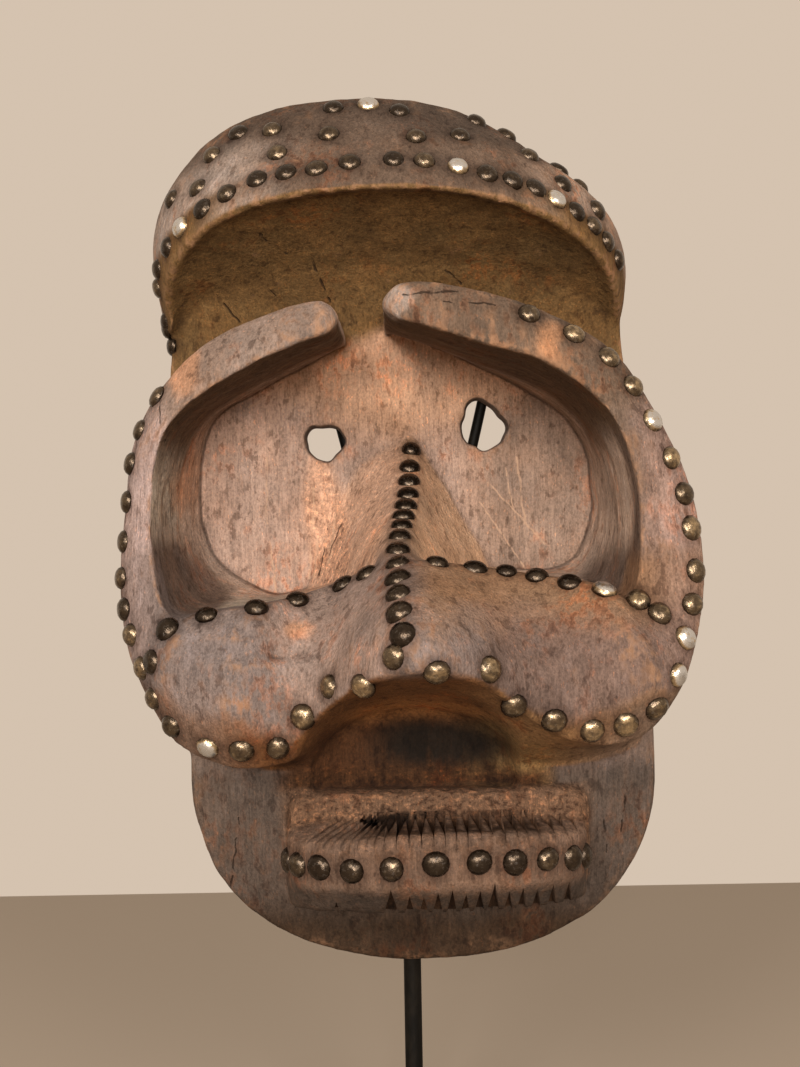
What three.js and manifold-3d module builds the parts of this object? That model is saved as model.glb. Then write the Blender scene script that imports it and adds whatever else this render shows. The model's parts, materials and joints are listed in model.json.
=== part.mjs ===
// Carved face mask with a jutting cap, horned cheeks and brass tacks, on its steel stand.
// Millimetres. The mask looks along -Y, +X is the viewer's right and +Z is up.
// The carving is written as [x, forward, up], measured from the middle of the face plate:
// forward is towards the viewer and up is the height over the level of the lower lids.
import * as THREE from "three";
import { mergeVertices } from "three/addons/utils/BufferGeometryUtils.js";
import Module from "manifold-3d";

const wasm = await Module();
wasm.setup();

// Where the carving stands over its base
const carvingHeight = 312;
const baseForward = 22;

// Stand
const base = { width: 160, depth: 180, thickness: 14, corner: 8 };
const rod = { x: 2.4, forward: -22, diameter: 8.5, top: -80, sides: 12 };
const prong = { diameter: 5, sides: 6, clearance: 1.4, chinHeight: -128, chinForward: 66.5 };
const fittingGap = 0.3;

// Each arm's place across where it passes its eye hole and where it ends under the cap
const arms = [
  { low: -25.5, high: -40 },
  { low: 36, high: 49 },
];
const armHeights = { low: 43, high: 98 };

// Tacks
const tack = { diameter: 10, height: 2.8, sides: 8, plainSides: 6, plainSeat: 1 };

// Their pitches along the rows, as unequal as they were driven in
const rimPitches = [
  15, 14, 15.5, 16, 14.5, 13, 12, 14.5, 12.5, 12, 12.5, 14.5, 14.5, 15, 17, 17.5, 18.5, 15, 17,
  17.5, 17, 13, 12, 11.5, 13.5, 14, 14.5, 13, 16.5, 13.5, 14.5, 16, 15, 14.5, 16, 19,
];
// How far the lip's tacks stray from the rim row, to the right and up
const lipStrays = [
  [2.7, -0.4], [0.9, 2.5], [-0.2, 0.9], [-1.9, 3.6], [-1.3, 4.7], [3.8, 0.7], [2.5, 2.2], [-2.9, -0.9],
  [-2.5, -0.5], [-3.1, -2], [-1.6, -1.3], [0, -0.7], [0.5, 1.3], [0, 2], [0, 0],
];
const nosePitches = [14, 11.5, 12, 11, 11, 11, 14, 15.5, 12.5, 14, 12.5, 11.5, 11];
const crestLeftPitches = [12, 18.5, 18.5, 20.5, 16, 12];
const crestRightPitches = [15.5, 12.5, 12, 13.5, 14, 13, 9.5];
// Places of the mouth band's tacks: share of its half width, and level over its middle
const mouthPlaces = [
  [-0.985, 1], [-0.905, 1], [-0.76, 0], [-0.55, -2], [-0.295, -2.3], [-0.02, -1.6], [0.255, -1.2],
  [0.478, -1.3], [0.69, 0], [0.869, 0], [0.97, -1],
];

// Places of the cap's tacks: share of the half turn from right to left, and level over the rim.
// A share over 1 runs on backwards along the left side.
const capLowRow = [
  [1.25, 12], [1.1, 12], [0.992, 12], [0.958, 12], [0.915, 12.5], [0.852, 10], [0.798, 10],
  [0.742, 10.5], [0.692, 11.5], [0.642, 13.5], [0.602, 13.5], [0.565, 13], [0.53, 15], [0.496, 16],
  [0.462, 15.5], [0.422, 14], [0.385, 12.5], [0.35, 12.5], [0.315, 12.5], [0.281, 11.5],
  [0.243, 11.5], [0.203, 11], [0.163, 10.5], [0.118, 10.5],
];
const capMiddleRow = [
  [0.94, 53], [0.745, 25], [0.71, 41], [0.61, 27.5], [0.545, 35.5], [0.468, 32], [0.408, 36.5],
  [0.31, 36], [0.268, 24.5], [0.195, 23],
];
const capHighRow = [
  [0.815, 33.5], [0.665, 50], [0.61, 44.5], [0.53, 55], [0.498, 57], [0.462, 52.5], [0.34, 57],
  [0.285, 57], [0.238, 41.5], [0.196, 39.5],
];

// The flat rim at the back, which leans back with the whole mask
const backRim = { forward: -46, lean: 0.305, reach: 400 };

// Face plate and the shell behind it
const plate = { thickness: 12 };
const shell = { halfWidth: 109, top: 110, bottom: -97, back: -170, jawTaper: 22, crownTaper: 4 };

// Jaw: a flat U with a slightly swollen front
const jaw = { centre: 7.5, halfWidth: 93.5, top: -95, bottom: -171, power: 2.3, edge: 80, middle: 90 };

// Cap: its rim lies in a plane that rises to the front
const cap = { rimHeight: 95, riseAngle: 34, leftPower: 2.5, rightPower: 2.1, back: -150 };
const capRise = THREE.MathUtils.degToRad(cap.riseAngle);
const capLevels = [
  { level: 0, centre: -1, halfWidth: 105, front: 84.5 },
  { level: 12, centre: -1.5, halfWidth: 109.5, front: 85 },
  { level: 31, centre: -2.5, halfWidth: 112.5, front: 84 },
  { level: 44, centre: -7.5, halfWidth: 107, front: 83 },
  { level: 53, centre: -10.5, halfWidth: 101, front: 82.5 },
  { level: 60, centre: -12, halfWidth: 95, front: 81.5 },
  { level: 66, centre: -11.5, halfWidth: 86, front: 78.5 },
  { level: 70.5, centre: -9, halfWidth: 70, front: 63 },
  { level: 73, centre: -8, halfWidth: 38, front: 36 },
];
const capScoop = [
  { level: -12, inset: 3 },
  { level: 0, inset: 3 },
  { level: 6, inset: 14 },
  { level: 9, inset: 34 },
];
const skull = { centre: -3, power: 2.4 };
const skullStations = [
  { forward: -170, top: 170, halfWidth: 106 },
  { forward: -1, top: 187, halfWidth: 106 },
  { forward: 16, top: 186, halfWidth: 98 },
];

// The horned cheeks run as one band from the left horn's tip, under the nose, to the right
// horn's tip. Each station gives the outer edge, the ridge and the foot on the face plate.
const cheekStations = [
  { outer: [-24, 92, 92], ridge: [-22, 95, 79.5], foot: [-22, 91] },
  { outer: [-44, 88, 89.5], ridge: [-40, 98, 73.5], foot: [-40, 81] },
  { outer: [-76, 84, 77], ridge: [-66, 97, 61], foot: [-64, 69] },
  { outer: [-97, 80, 57], ridge: [-85, 95, 48], foot: [-84, 57] },
  { outer: [-107, 78, 36], ridge: [-94, 94, 32], foot: [-92, 37] },
  { outer: [-111, 79, 5], ridge: [-97, 93, 4], foot: [-93, 12] },
  { outer: [-112, 82, -24], ridge: [-94, 97, -18], foot: [-88, -6] },
  { outer: [-106, 88, -50], ridge: [-88, 100, -30], foot: [-80, -16] },
  { outer: [-89, 100, -77], ridge: [-74, 99, -28.5], foot: [-70, -23] },
  { outer: [-66, 106, -87.5], ridge: [-55, 104, -26], foot: [-58, -28] },
  { outer: [-46, 108, -86], ridge: [-41, 93, -23.5], foot: [-46, -26] },
  { outer: [-30, 117, -74], ridge: [-26, 86, -19], foot: [-30, -25] },
  { outer: [-15, 136, -58], ridge: [-13, 93, -14], foot: [-14, -25] },
  { outer: [7, 149, -50], ridge: [0, 105, -10], foot: [5, -25] },
  { outer: [28, 142, -54], ridge: [22, 98, -12], foot: [22, -22] },
  { outer: [44, 130, -66], ridge: [40, 95, -14.5], foot: [40, -18] },
  { outer: [66, 123, -78], ridge: [58, 102, -17.5], foot: [56, -18] },
  { outer: [88, 120, -75.5], ridge: [76, 111, -21], foot: [70, -18] },
  { outer: [104, 118, -56], ridge: [85, 110, -26], foot: [80, -13] },
  { outer: [114, 108, -28], ridge: [89, 110, -16], foot: [86, -4] },
  { outer: [115.5, 102, -8], ridge: [90, 110, -2], foot: [90, 10] },
  { outer: [112, 98, 17], ridge: [90, 108, 14], foot: [90, 20] },
  { outer: [103, 98, 38], ridge: [85, 108, 34], foot: [88, 36] },
  { outer: [86, 96, 67], ridge: [75, 107, 50], foot: [78, 53] },
  { outer: [59, 97, 84], ridge: [56, 106, 64], foot: [58, 67] },
  { outer: [32, 98, 93], ridge: [31, 105, 72], foot: [34, 80] },
  { outer: [8, 97, 97], ridge: [8, 102, 80], foot: [9, 91] },
  { outer: [-6, 96, 94], ridge: [-5, 100, 84], foot: [-6, 97] },
];
const cheek = {
  sections: 56,
  back: -8,
  bulge: 2,
  hornLift: 13,
  muzzleHalfWidth: 112,
  muzzleBulge: 13,
  noseBulge: 5,
  underForward: 76,
  underHeight: -105,
  underArch: 14,
};

// Nose: its ridge, and where its flanks meet the face plate on the left and the right
const noseStations = [
  { ridge: [5.5, 0, 47], left: [0, 46], right: [11, 46] },
  { ridge: [5, 10, 35], left: [-20, 36], right: [19, 29] },
  { ridge: [4, 34, 18.5], left: [-29, 22], right: [27, 16] },
  { ridge: [1, 62, 5], left: [-36, 5], right: [33, 3] },
  { ridge: [-1, 96, -7], left: [-42, -14], right: [40, -9] },
  { ridge: [-2, 106, -17], left: [-46, -28], right: [46, -24] },
];
const nose = { sections: 14, ridgeWidth: 9, hollowing: 0.16, back: -8 };

// The dark pocket under the nose
const pocket = { centre: 4, halfWidth: 42, foot: -101, crown: -68, back: 80, power: 2.2, flare: 0.3 };

// Mouth: a raised block, a barrel-like band across it and the notches of the teeth
const mouthBlock = { left: -46, right: 72, top: -99, bottom: -143, forward: 95, slope: 5 };
const mouthBand = { centre: 12, halfWidth: 58, up: -121, forward: 125, back: 84 };
// The band's section: share of the way from the block's face to the band's front, and height
const bandProfile = [
  { share: 0.03, high: 11 },
  { share: 0.9, high: 9 },
  { share: 1, high: 6 },
  { share: 1, high: -9 },
  { share: 0.55, high: -20 },
  { share: 0, high: -23 },
];
const teeth = { upper: 17, lower: 14, width: 5.6, upperDepth: 20, slantLeft: 9, slantRight: -2 };
const lowerTeeth = { tip: -131, edge: -147 };

// Eye holes: centre, half-width, half-height, turn and how far the upper end is drawn out
const eyeHoles = [
  { x: -34.7, up: 43.5, halfWidth: 9, halfHeight: 8, peak: 0, peakAngle: 2.0 },
  { x: 40.5, up: 48.5, halfWidth: 10, halfHeight: 9.5, peak: 4.5, peakAngle: 1.9 },
];

// Hollow behind the face: half-width and depth at each height
const hollowLevels = [
  { up: -152, centre: 7.5, halfWidth: 34, forward: 42 },
  { up: -142, centre: 7.5, halfWidth: 62, forward: 64 },
  { up: -125, centre: 7.5, halfWidth: 75, forward: 69 },
  { up: -100, centre: 7.5, halfWidth: 79, forward: 67 },
  { up: -75, centre: 4, halfWidth: 82, forward: 58 },
  { up: -55, centre: 2, halfWidth: 88, forward: 35 },
  { up: -40, centre: 0, halfWidth: 93, forward: 4 },
  { up: -30, centre: 0, halfWidth: 94, forward: -12 },
  { up: 30, centre: 0, halfWidth: 95, forward: -12 },
  { up: 108, centre: -1, halfWidth: 95, forward: -12 },
  { up: 125, centre: -1, halfWidth: 91, forward: 6 },
  { up: 140, centre: -1, halfWidth: 86, forward: 26 },
  { up: 158, centre: -1, halfWidth: 70, forward: 34 },
  { up: 168, centre: -1, halfWidth: 46, forward: 22 },
];

// Its front wall curves back to the sides: share of the half-width, and how far back
const hollowFront = [
  { share: -1, back: 26 },
  { share: -0.93, back: 9 },
  { share: -0.75, back: 1.5 },
  { share: 0, back: 0 },
  { share: 0.75, back: 1.5 },
  { share: 0.93, back: 9 },
  { share: 1, back: 26 },
];

const wood = new THREE.MeshStandardMaterial({ color: 0x7b5a48, roughness: 0.78, metalness: 0 });
const brass = new THREE.MeshStandardMaterial({ color: 0x8c7a55, roughness: 0.32, metalness: 0.9 });
const steel = new THREE.MeshStandardMaterial({ color: 0x1e1b18, roughness: 0.5, metalness: 0.6 });

// The carving's [x, forward, up] as a point of the model
function place([x, forward, up]) {
  return new THREE.Vector3(x, -forward, up);
}

function mix(a, b, share) {
  return a + (b - a) * share;
}

function clamp01(value) {
  return Math.min(1, Math.max(0, value));
}

function curveThrough(points) {
  return new THREE.CatmullRomCurve3(points.map(place), false, "catmullrom", 0.5);
}

// A closed geometry's shared vertices and faces, as a solid that can be joined and cut
function solidOf(geometry) {
  const bare = new THREE.BufferGeometry();
  bare.setAttribute("position", geometry.getAttribute("position"));
  bare.setIndex(geometry.getIndex());
  const merged = mergeVertices(bare, 1e-4);
  const vertProperties = new Float32Array(merged.getAttribute("position").array);
  const triVerts = new Uint32Array(merged.getIndex().array);
  return new wasm.Manifold(new wasm.Mesh({ numProp: 3, vertProperties, triVerts }));
}

function geometryOf(solid) {
  const { vertProperties, triVerts } = solid.getMesh();
  const geometry = new THREE.BufferGeometry();
  geometry.setAttribute("position", new THREE.BufferAttribute(new Float32Array(vertProperties), 3));
  geometry.setIndex(new THREE.BufferAttribute(new Uint32Array(triVerts), 1));
  return geometry;
}

// Skin over a row of rings with the same number of points, closed by a fan at both ends
function loft(rings) {
  const count = rings[0].length;
  const points = rings.flat();
  const faces = [];
  for (let row = 0; row + 1 < rings.length; row += 1) {
    for (let i = 0; i < count; i += 1) {
      const next = (i + 1) % count;
      const a = row * count + i;
      const b = row * count + next;
      faces.push([a, b, b + count], [a, b + count, a + count]);
    }
  }
  for (const [row, flip] of [[0, true], [rings.length - 1, false]]) {
    const middle = new THREE.Vector3();
    rings[row].forEach((point) => middle.add(point));
    points.push(middle.divideScalar(count));
    for (let i = 0; i < count; i += 1) {
      const a = row * count + i;
      const b = row * count + ((i + 1) % count);
      faces.push(flip ? [b, a, points.length - 1] : [a, b, points.length - 1]);
    }
  }
  const volume = faces.reduce((sum, [a, b, c]) => {
    return sum + points[a].dot(new THREE.Vector3().crossVectors(points[b], points[c]));
  }, 0);
  const outward = volume > 0 ? faces : faces.map(([a, b, c]) => [a, c, b]);
  const geometry = new THREE.BufferGeometry().setFromPoints(points);
  geometry.setIndex(outward.flat());
  return solidOf(geometry);
}

// Half-width of a superellipse at a height given as a share of its full height
function bulgeShare(share, power) {
  return (1 - Math.abs(share) ** power) ** (1 / power);
}

// Face plate with the side walls behind it
function shellSolid() {
  const sides = [];
  for (const up of [shell.bottom, -70, -40, 0, 60, shell.top]) {
    const { jawTaper, crownTaper } = shell;
    const narrowing = up < 0 ? jawTaper * (up / shell.bottom) ** 2 : crownTaper * (up / shell.top) ** 2;
    const halfWidth = shell.halfWidth - narrowing;
    const centre = up < 0 ? jaw.centre * (up / shell.bottom) : 0;
    sides.push([centre - halfWidth, centre + halfWidth, up]);
  }
  const outline = [
    ...sides.map(([left, , up]) => [left, up]),
    ...sides.reverse().map(([, right, up]) => [right, up]),
  ];
  return loft([shell.back, 0].map((forward) => outline.map(([x, up]) => place([x, forward, up]))));
}

// Jaw: the U outline carried forward, with a swollen front
function jawSolid() {
  const steps = 20;
  const outline = Array.from({ length: steps + 1 }, (unused, i) => {
    return roundShares(Math.PI * (i / steps), jaw.power);
  });
  outline.unshift([1, -0.5]);
  outline.push([-1, -0.5]);
  const depth = jaw.top - jaw.bottom;
  const ring = (forward, share) => outline.map(([across, down]) => {
    return place([jaw.centre + across * jaw.halfWidth * share, forward, jaw.top - down * depth * share]);
  });
  const swell = jaw.middle - jaw.edge;
  return loft([
    ring(shell.back, 1),
    ring(jaw.edge - 2, 1),
    ring(jaw.edge, 0.98),
    ring(jaw.edge + swell * 0.5, 0.72),
    ring(jaw.edge + swell * 0.9, 0.36),
  ]);
}

// The band of horns, cheeks and muzzle
function cheekSolid() {
  const outer = curveThrough(cheekStations.map((station) => station.outer));
  const ridge = curveThrough(cheekStations.map((station) => station.ridge));
  const foot = curveThrough(cheekStations.map(({ foot: [x, up] }) => [x, 0, up]));
  const rings = [];
  for (let i = 0; i <= cheek.sections; i += 1) {
    const share = i / cheek.sections;
    const edge = outer.getPoint(share);
    const crest = ridge.getPoint(share);
    const inner = foot.getPoint(share);
    const muzzle = edge.z < 0 ? clamp01((cheek.muzzleHalfWidth - Math.abs(edge.x)) / 15) : 0;
    const lift = cheek.hornLift * clamp01((edge.z - 70) / 25);
    const nearNose = clamp01(1 - Math.abs(edge.x - 4) / 40);
    const bulge = cheek.bulge + muzzle * (cheek.muzzleBulge - cheek.bulge + cheek.noseBulge * nearNose);
    const face = [0.3, 0.7].map((part) => {
      const point = new THREE.Vector3().lerpVectors(crest, edge, part);
      point.y -= bulge * 4 * part * (1 - part);
      return point;
    });
    const underFoot = cheek.underHeight + cheek.underArch * ((edge.x - 8) / 85) ** 2;
    const under = new THREE.Vector3(
      mix(edge.x, edge.x * 0.95, muzzle),
      mix(edge.y * 0.5, -cheek.underForward, muzzle),
      mix(edge.z + lift / 2, underFoot, muzzle),
    );
    const behind = new THREE.Vector3(under.x, -cheek.back, mix(edge.z + lift, under.z, muzzle));
    const innerBehind = new THREE.Vector3(inner.x, -cheek.back, inner.z);
    rings.push([innerBehind, inner, crest, ...face, edge, under, behind]);
  }
  return loft(rings);
}

// Nose: a flat-topped ridge with hollowed flanks
function noseSolid() {
  const ridge = curveThrough(noseStations.map((station) => station.ridge));
  const left = curveThrough(noseStations.map(({ left: [x, up] }) => [x, 0, up]));
  const right = curveThrough(noseStations.map(({ right: [x, up] }) => [x, 0, up]));
  const rings = [];
  for (let i = 0; i <= nose.sections; i += 1) {
    const share = i / nose.sections;
    const top = ridge.getPoint(share);
    const half = new THREE.Vector3((nose.ridgeWidth / 2) * clamp01(0.3 + share * 3), 0, 0);
    const flank = (foot, crest) => {
      const point = new THREE.Vector3().lerpVectors(foot, crest, 0.5);
      point.y += nose.hollowing * Math.abs(crest.y);
      return point;
    };
    const leftTop = top.clone().sub(half);
    const rightTop = top.clone().add(half);
    const leftFoot = left.getPoint(share);
    const rightFoot = right.getPoint(share);
    const back = (foot) => new THREE.Vector3(foot.x, -nose.back, foot.z);
    rings.push([
      back(leftFoot), leftFoot, flank(leftFoot, leftTop), leftTop,
      rightTop, flank(rightFoot, rightTop), rightFoot, back(rightFoot),
    ]);
  }
  return loft(rings);
}

// A point on or over the cap's rim plane: across, along the plane to the front, and off it
function capPoint(x, along, level) {
  const forward = along * Math.cos(capRise) - level * Math.sin(capRise);
  const up = cap.rimHeight + along * Math.sin(capRise) + level * Math.cos(capRise);
  return place([x, forward, up]);
}

// Across and along shares of a superellipse, at an angle from its right side
function roundShares(angle, power) {
  const across = Math.sign(Math.cos(angle)) * Math.abs(Math.cos(angle)) ** (2 / power);
  return [across, Math.max(0, Math.sin(angle)) ** (2 / power)];
}

// Across and along shares round the cap, whose right side is rounder than its left
function capShares(angle) {
  return roundShares(angle, Math.cos(angle) > 0 ? cap.rightPower : cap.leftPower);
}

// The U outline of the cap at one level, from the left side's back round to the right's
function capRing({ level, centre, halfWidth, front }, steps = 18) {
  const ring = [capPoint(centre - halfWidth, cap.back, level)];
  for (let i = 0; i <= steps; i += 1) {
    const [across, along] = capShares(Math.PI * (1 - i / steps));
    ring.push(capPoint(centre + halfWidth * across, front * along, level));
  }
  ring.push(capPoint(centre + halfWidth, cap.back, level));
  return ring;
}

function capSolid() {
  const block = loft(capLevels.map((entry) => capRing(entry)));
  const rim = capLevels[0];
  const scoop = loft(capScoop.map(({ level, inset }) => {
    return capRing({ ...rim, level, halfWidth: rim.halfWidth - inset, front: rim.front - inset });
  }));
  const skullSolid = loft(skullStations.map(({ forward, top, halfWidth }) => {
    return Array.from({ length: 15 }, (unused, i) => {
      const [across, high] = roundShares(Math.PI * (1 - i / 14), skull.power);
      return place([skull.centre + halfWidth * across, forward, mix(cap.rimHeight, top, high)]);
    });
  }));
  return block.add(skullSolid).subtract(scoop);
}

// The room behind the face, from under the chin to the crown
function hollowSolid() {
  return loft(hollowLevels.map(({ up, centre, halfWidth, forward }) => {
    const ring = hollowFront.map(({ share, back }) => {
      return place([centre + share * halfWidth, forward - back, up]);
    });
    ring.unshift(place([centre - halfWidth, shell.back - 20, up]));
    ring.push(place([centre + halfWidth, shell.back - 20, up]));
    return ring;
  }));
}

function pocketSolid() {
  const arch = (forward, size) => Array.from({ length: 13 }, (unused, i) => {
    const [across, high] = roundShares(Math.PI * (1 - i / 12), pocket.power);
    const up = mix(pocket.foot, pocket.crown + size, high);
    return place([pocket.centre + (pocket.halfWidth + size) * across, forward, up]);
  });
  return loft([arch(pocket.back, -6), arch(pocket.back + 8, 0), arch(170, 90 * pocket.flare)]);
}

function eyeHoleSolid({ x, up, halfWidth, halfHeight, peak, peakAngle }) {
  const ring = (forward, flare) => {
    const points = [];
    for (let i = 0; i < 12; i += 1) {
      const angle = (2 * Math.PI * i) / 12;
      const turn = Math.cos(angle - peakAngle);
      const drawn = peak * Math.max(0, turn) ** 6;
      const across = Math.cos(angle) * (halfWidth + flare + drawn);
      const high = Math.sin(angle) * (halfHeight + flare + drawn);
      points.push(place([x + across, forward, up + high]));
    }
    return points;
  };
  return loft([ring(-plate.thickness - 8, 0), ring(-plate.thickness / 2, 0), ring(4, 1.5)]);
}

// The raised block round the mouth
function mouthBlockSolid() {
  const { left, right, top, bottom, forward, slope } = mouthBlock;
  const ring = (depth, inset) => [
    place([left + inset, depth, top]),
    place([right - inset, depth, top]),
    place([right - inset, depth, bottom + 8 + inset]),
    place([right - 8 - inset, depth, bottom + inset]),
    place([left + 8 + inset, depth, bottom + inset]),
    place([left + inset, depth, bottom + 8 + inset]),
  ];
  return loft([ring(jaw.edge - 8, 0), ring(forward - 5, 0), ring(forward, slope)]);
}

// The band's front line: it curves back at both ends
function bandForward(across) {
  return mix(mouthBlock.forward - 4, mouthBand.forward, bulgeShare(across, 2.6));
}

// The band sags towards both ends
function bandSag(across) {
  return 3 - 6 * (across - 0.1) ** 2;
}

function mouthBandSolid() {
  const rings = [];
  for (let i = 0; i <= 16; i += 1) {
    const across = -0.985 + (1.97 * i) / 16;
    const x = mouthBand.centre + across * mouthBand.halfWidth;
    const front = bandForward(across);
    const sag = bandSag(across);
    const ring = bandProfile.map(({ share, high }) => {
      const forward = mix(mouthBlock.forward, front, share);
      return place([x, forward, mouthBand.up + sag * mix(0.3, 1, share) + high]);
    });
    ring.unshift(place([x, mouthBand.back, mouthBand.up + 15]));
    ring.push(place([x, mouthBand.back, mouthBand.up - 24]));
    rings.push(ring);
  }
  return loft(rings);
}

// Wedges between the upper teeth, cut down into the band's shelf with their points forward
function upperNotches() {
  return Array.from({ length: teeth.upper }, (unused, i) => {
    const share = (i + 0.5) / teeth.upper;
    const across = mix(-0.93, 0.93, share);
    const x = mouthBand.centre + across * mouthBand.halfWidth;
    const slant = mix(teeth.slantLeft, teeth.slantRight, Math.sqrt(share));
    const tip = Math.min(mouthBlock.forward + teeth.upperDepth, bandForward(across) - 4);
    const half = teeth.width / 2;
    const ring = (up) => [
      place([x + slant - half, mouthBlock.forward - 1, up]),
      place([x + slant + half, mouthBlock.forward - 1, up]),
      place([x, tip, up]),
    ];
    return loft([ring(mouthBand.up + 2), ring(mouthBand.up + 16)]);
  });
}

// Wedges between the lower teeth, with their points up
function lowerNotches() {
  return Array.from({ length: teeth.lower }, (unused, i) => {
    const share = (i + 0.5) / teeth.lower;
    const x = mouthBand.centre + mix(-0.8, 0.9, share) * mouthBand.halfWidth;
    const half = teeth.width / 2;
    const ring = (forward) => [
      place([x - half, forward, lowerTeeth.edge]),
      place([x + half, forward, lowerTeeth.edge]),
      place([x, forward, lowerTeeth.tip]),
    ];
    return loft([ring(mouthBlock.forward + 2), ring(mouthBand.forward + 9)]);
  });
}

// Everything behind the leaning back rim
function behindRimSolid() {
  const { forward, lean, reach } = backRim;
  const edge = (up) => forward - lean * up;
  const ring = (x) => [
    place([x, edge(-reach), -reach]),
    place([x, edge(reach), reach]),
    place([x, edge(reach) - reach * 2, reach]),
    place([x, edge(-reach) - reach * 2, -reach]),
  ];
  return loft([ring(-reach), ring(reach)]);
}

function carvedSolid() {
  let solid = shellSolid();
  for (const piece of [jawSolid(), cheekSolid(), noseSolid(), capSolid(), mouthBlockSolid()]) {
    solid = solid.add(piece);
  }
  const notches = upperNotches().concat(lowerNotches());
  const band = notches.reduce((whole, notch) => whole.subtract(notch), mouthBandSolid());
  solid = solid.subtract(pocketSolid()).add(band);
  solid = solid.subtract(hollowSolid()).subtract(behindRimSolid());
  return eyeHoles.reduce((whole, hole) => whole.subtract(eyeHoleSolid(hole)), solid);
}

// The steel upright, its two arms behind the brows and the prong behind the chin
function standRodSolid() {
  const bottom = base.thickness - carvingHeight + fittingGap;
  const bar = new THREE.CylinderGeometry(rod.diameter / 2, rod.diameter / 2, rod.top - bottom, rod.sides);
  bar.rotateX(Math.PI / 2);
  bar.translate(rod.x, -rod.forward, (rod.top + bottom) / 2);
  const armForward = -plate.thickness - prong.diameter / 2 - prong.clearance;
  const section = new THREE.Shape();
  for (let i = 0; i < prong.sides; i += 1) {
    const angle = (2 * Math.PI * (i + 0.5)) / prong.sides;
    const x = (prong.diameter / 2) * Math.cos(angle);
    const y = (prong.diameter / 2) * Math.sin(angle);
    section[i === 0 ? "moveTo" : "lineTo"](x, y);
  }
  section.closePath();
  const tube = (points, steps) => {
    const path = new THREE.CatmullRomCurve3(points.map(place));
    const settings = { steps, bevelEnabled: false, extrudePath: path };
    return solidOf(new THREE.ExtrudeGeometry(section, settings));
  };
  const chin = tube([
    [rod.x, rod.forward, prong.chinHeight],
    [rod.x + 1, mix(rod.forward, prong.chinForward, 0.5), prong.chinHeight],
    [rod.x + 2, prong.chinForward, prong.chinHeight],
  ], 1);
  const brazed = arms.map(({ low, high }) => tube([
    [rod.x, rod.forward, rod.top - 4],
    [mix(rod.x, low, 0.15), rod.forward + 1, rod.top + 12],
    [mix(rod.x, low, 0.6), armForward, rod.top + 72],
    [low, armForward, armHeights.low],
    [high, armForward, armHeights.high],
  ], 8));
  return brazed.reduce((whole, arm) => whole.add(arm), solidOf(bar).add(chin));
}

function standBaseSolid() {
  const { width, depth, thickness, corner } = base;
  const shape = new THREE.Shape();
  const x = width / 2 - corner;
  const y = depth / 2 - corner;
  shape.absarc(x, y, corner, 0, Math.PI / 2);
  shape.absarc(-x, y, corner, Math.PI / 2, Math.PI);
  shape.absarc(-x, -y, corner, Math.PI, 1.5 * Math.PI);
  shape.absarc(x, -y, corner, 1.5 * Math.PI, 2 * Math.PI);
  const settings = { depth: thickness, bevelEnabled: false, curveSegments: 3 };
  return solidOf(new THREE.ExtrudeGeometry(shape, settings));
}

// A tack's dome, turned about +Z, with a seat below its edge where it is driven in
function tackSolid(sides, seat) {
  const radius = tack.diameter / 2;
  const profile = [[0, -seat], [radius, -seat], [radius * 0.72, tack.height * 0.7], [0, tack.height]];
  const geometry = new THREE.LatheGeometry(profile.map(([x, y]) => new THREE.Vector2(x, y)), sides);
  geometry.rotateX(Math.PI / 2);
  return solidOf(geometry);
}

// Nearest place on the wood to a point, with the wood's mean slope under a tack there.
// Only faces that look the way of the given sense are taken, so that no tack lands underneath.
function seatOn(triangles, point, sense) {
  const near = new THREE.Vector3();
  const best = new THREE.Vector3();
  let distance = Infinity;
  const candidates = triangles.filter(({ facing }) => facing.dot(sense) > 0.1);
  for (const { triangle } of candidates) {
    triangle.closestPointToPoint(point, near);
    const reach = near.distanceTo(point);
    if (reach < distance) {
      distance = reach;
      best.copy(near);
    }
  }
  const normal = new THREE.Vector3();
  for (const { triangle, facing, area } of candidates) {
    triangle.closestPointToPoint(best, near);
    const share = 1 - near.distanceTo(best) / (tack.diameter * 0.6);
    if (share > 0) {
      normal.addScaledVector(facing, share * Math.min(area, 40));
    }
  }
  return { point: best, normal: normal.normalize() };
}

// How far the wood rises above the seat's own plane under the whole tack: its highest places
// are on the wood's edges inside the tack's circle, or straight below the circle itself
function riseUnder(triangles, { point, normal }) {
  const radius = tack.diameter / 2;
  const near = triangles.filter(({ box }) => box.distanceToPoint(point) < radius * 1.6);
  let rise = 0;
  const sample = new THREE.Vector3();
  for (const { triangle: { a, b, c } } of near) {
    for (const [start, end] of [[a, b], [b, c], [c, a]]) {
      for (let i = 0; i <= 40; i += 1) {
        sample.lerpVectors(start, end, i / 40).sub(point);
        const height = sample.dot(normal);
        if (sample.addScaledVector(normal, -height).length() < radius && height < radius) {
          rise = Math.max(rise, height);
        }
      }
    }
  }
  const side = new THREE.Vector3(-normal.y, normal.x, 0.2).cross(normal).normalize();
  const other = new THREE.Vector3().crossVectors(normal, side);
  const ray = new THREE.Ray();
  const hit = new THREE.Vector3();
  for (let i = 0; i < tack.sides * 2; i += 1) {
    const angle = (Math.PI * i) / tack.sides;
    ray.origin.copy(point)
      .addScaledVector(side, radius * Math.cos(angle))
      .addScaledVector(other, radius * Math.sin(angle))
      .addScaledVector(normal, radius);
    ray.direction.copy(normal).negate();
    for (const { triangle: { a, b, c } } of near) {
      if (ray.intersectTriangle(a, b, c, true, hit)) {
        rise = Math.max(rise, radius - hit.distanceTo(ray.origin));
      }
    }
  }
  return rise;
}

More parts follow.
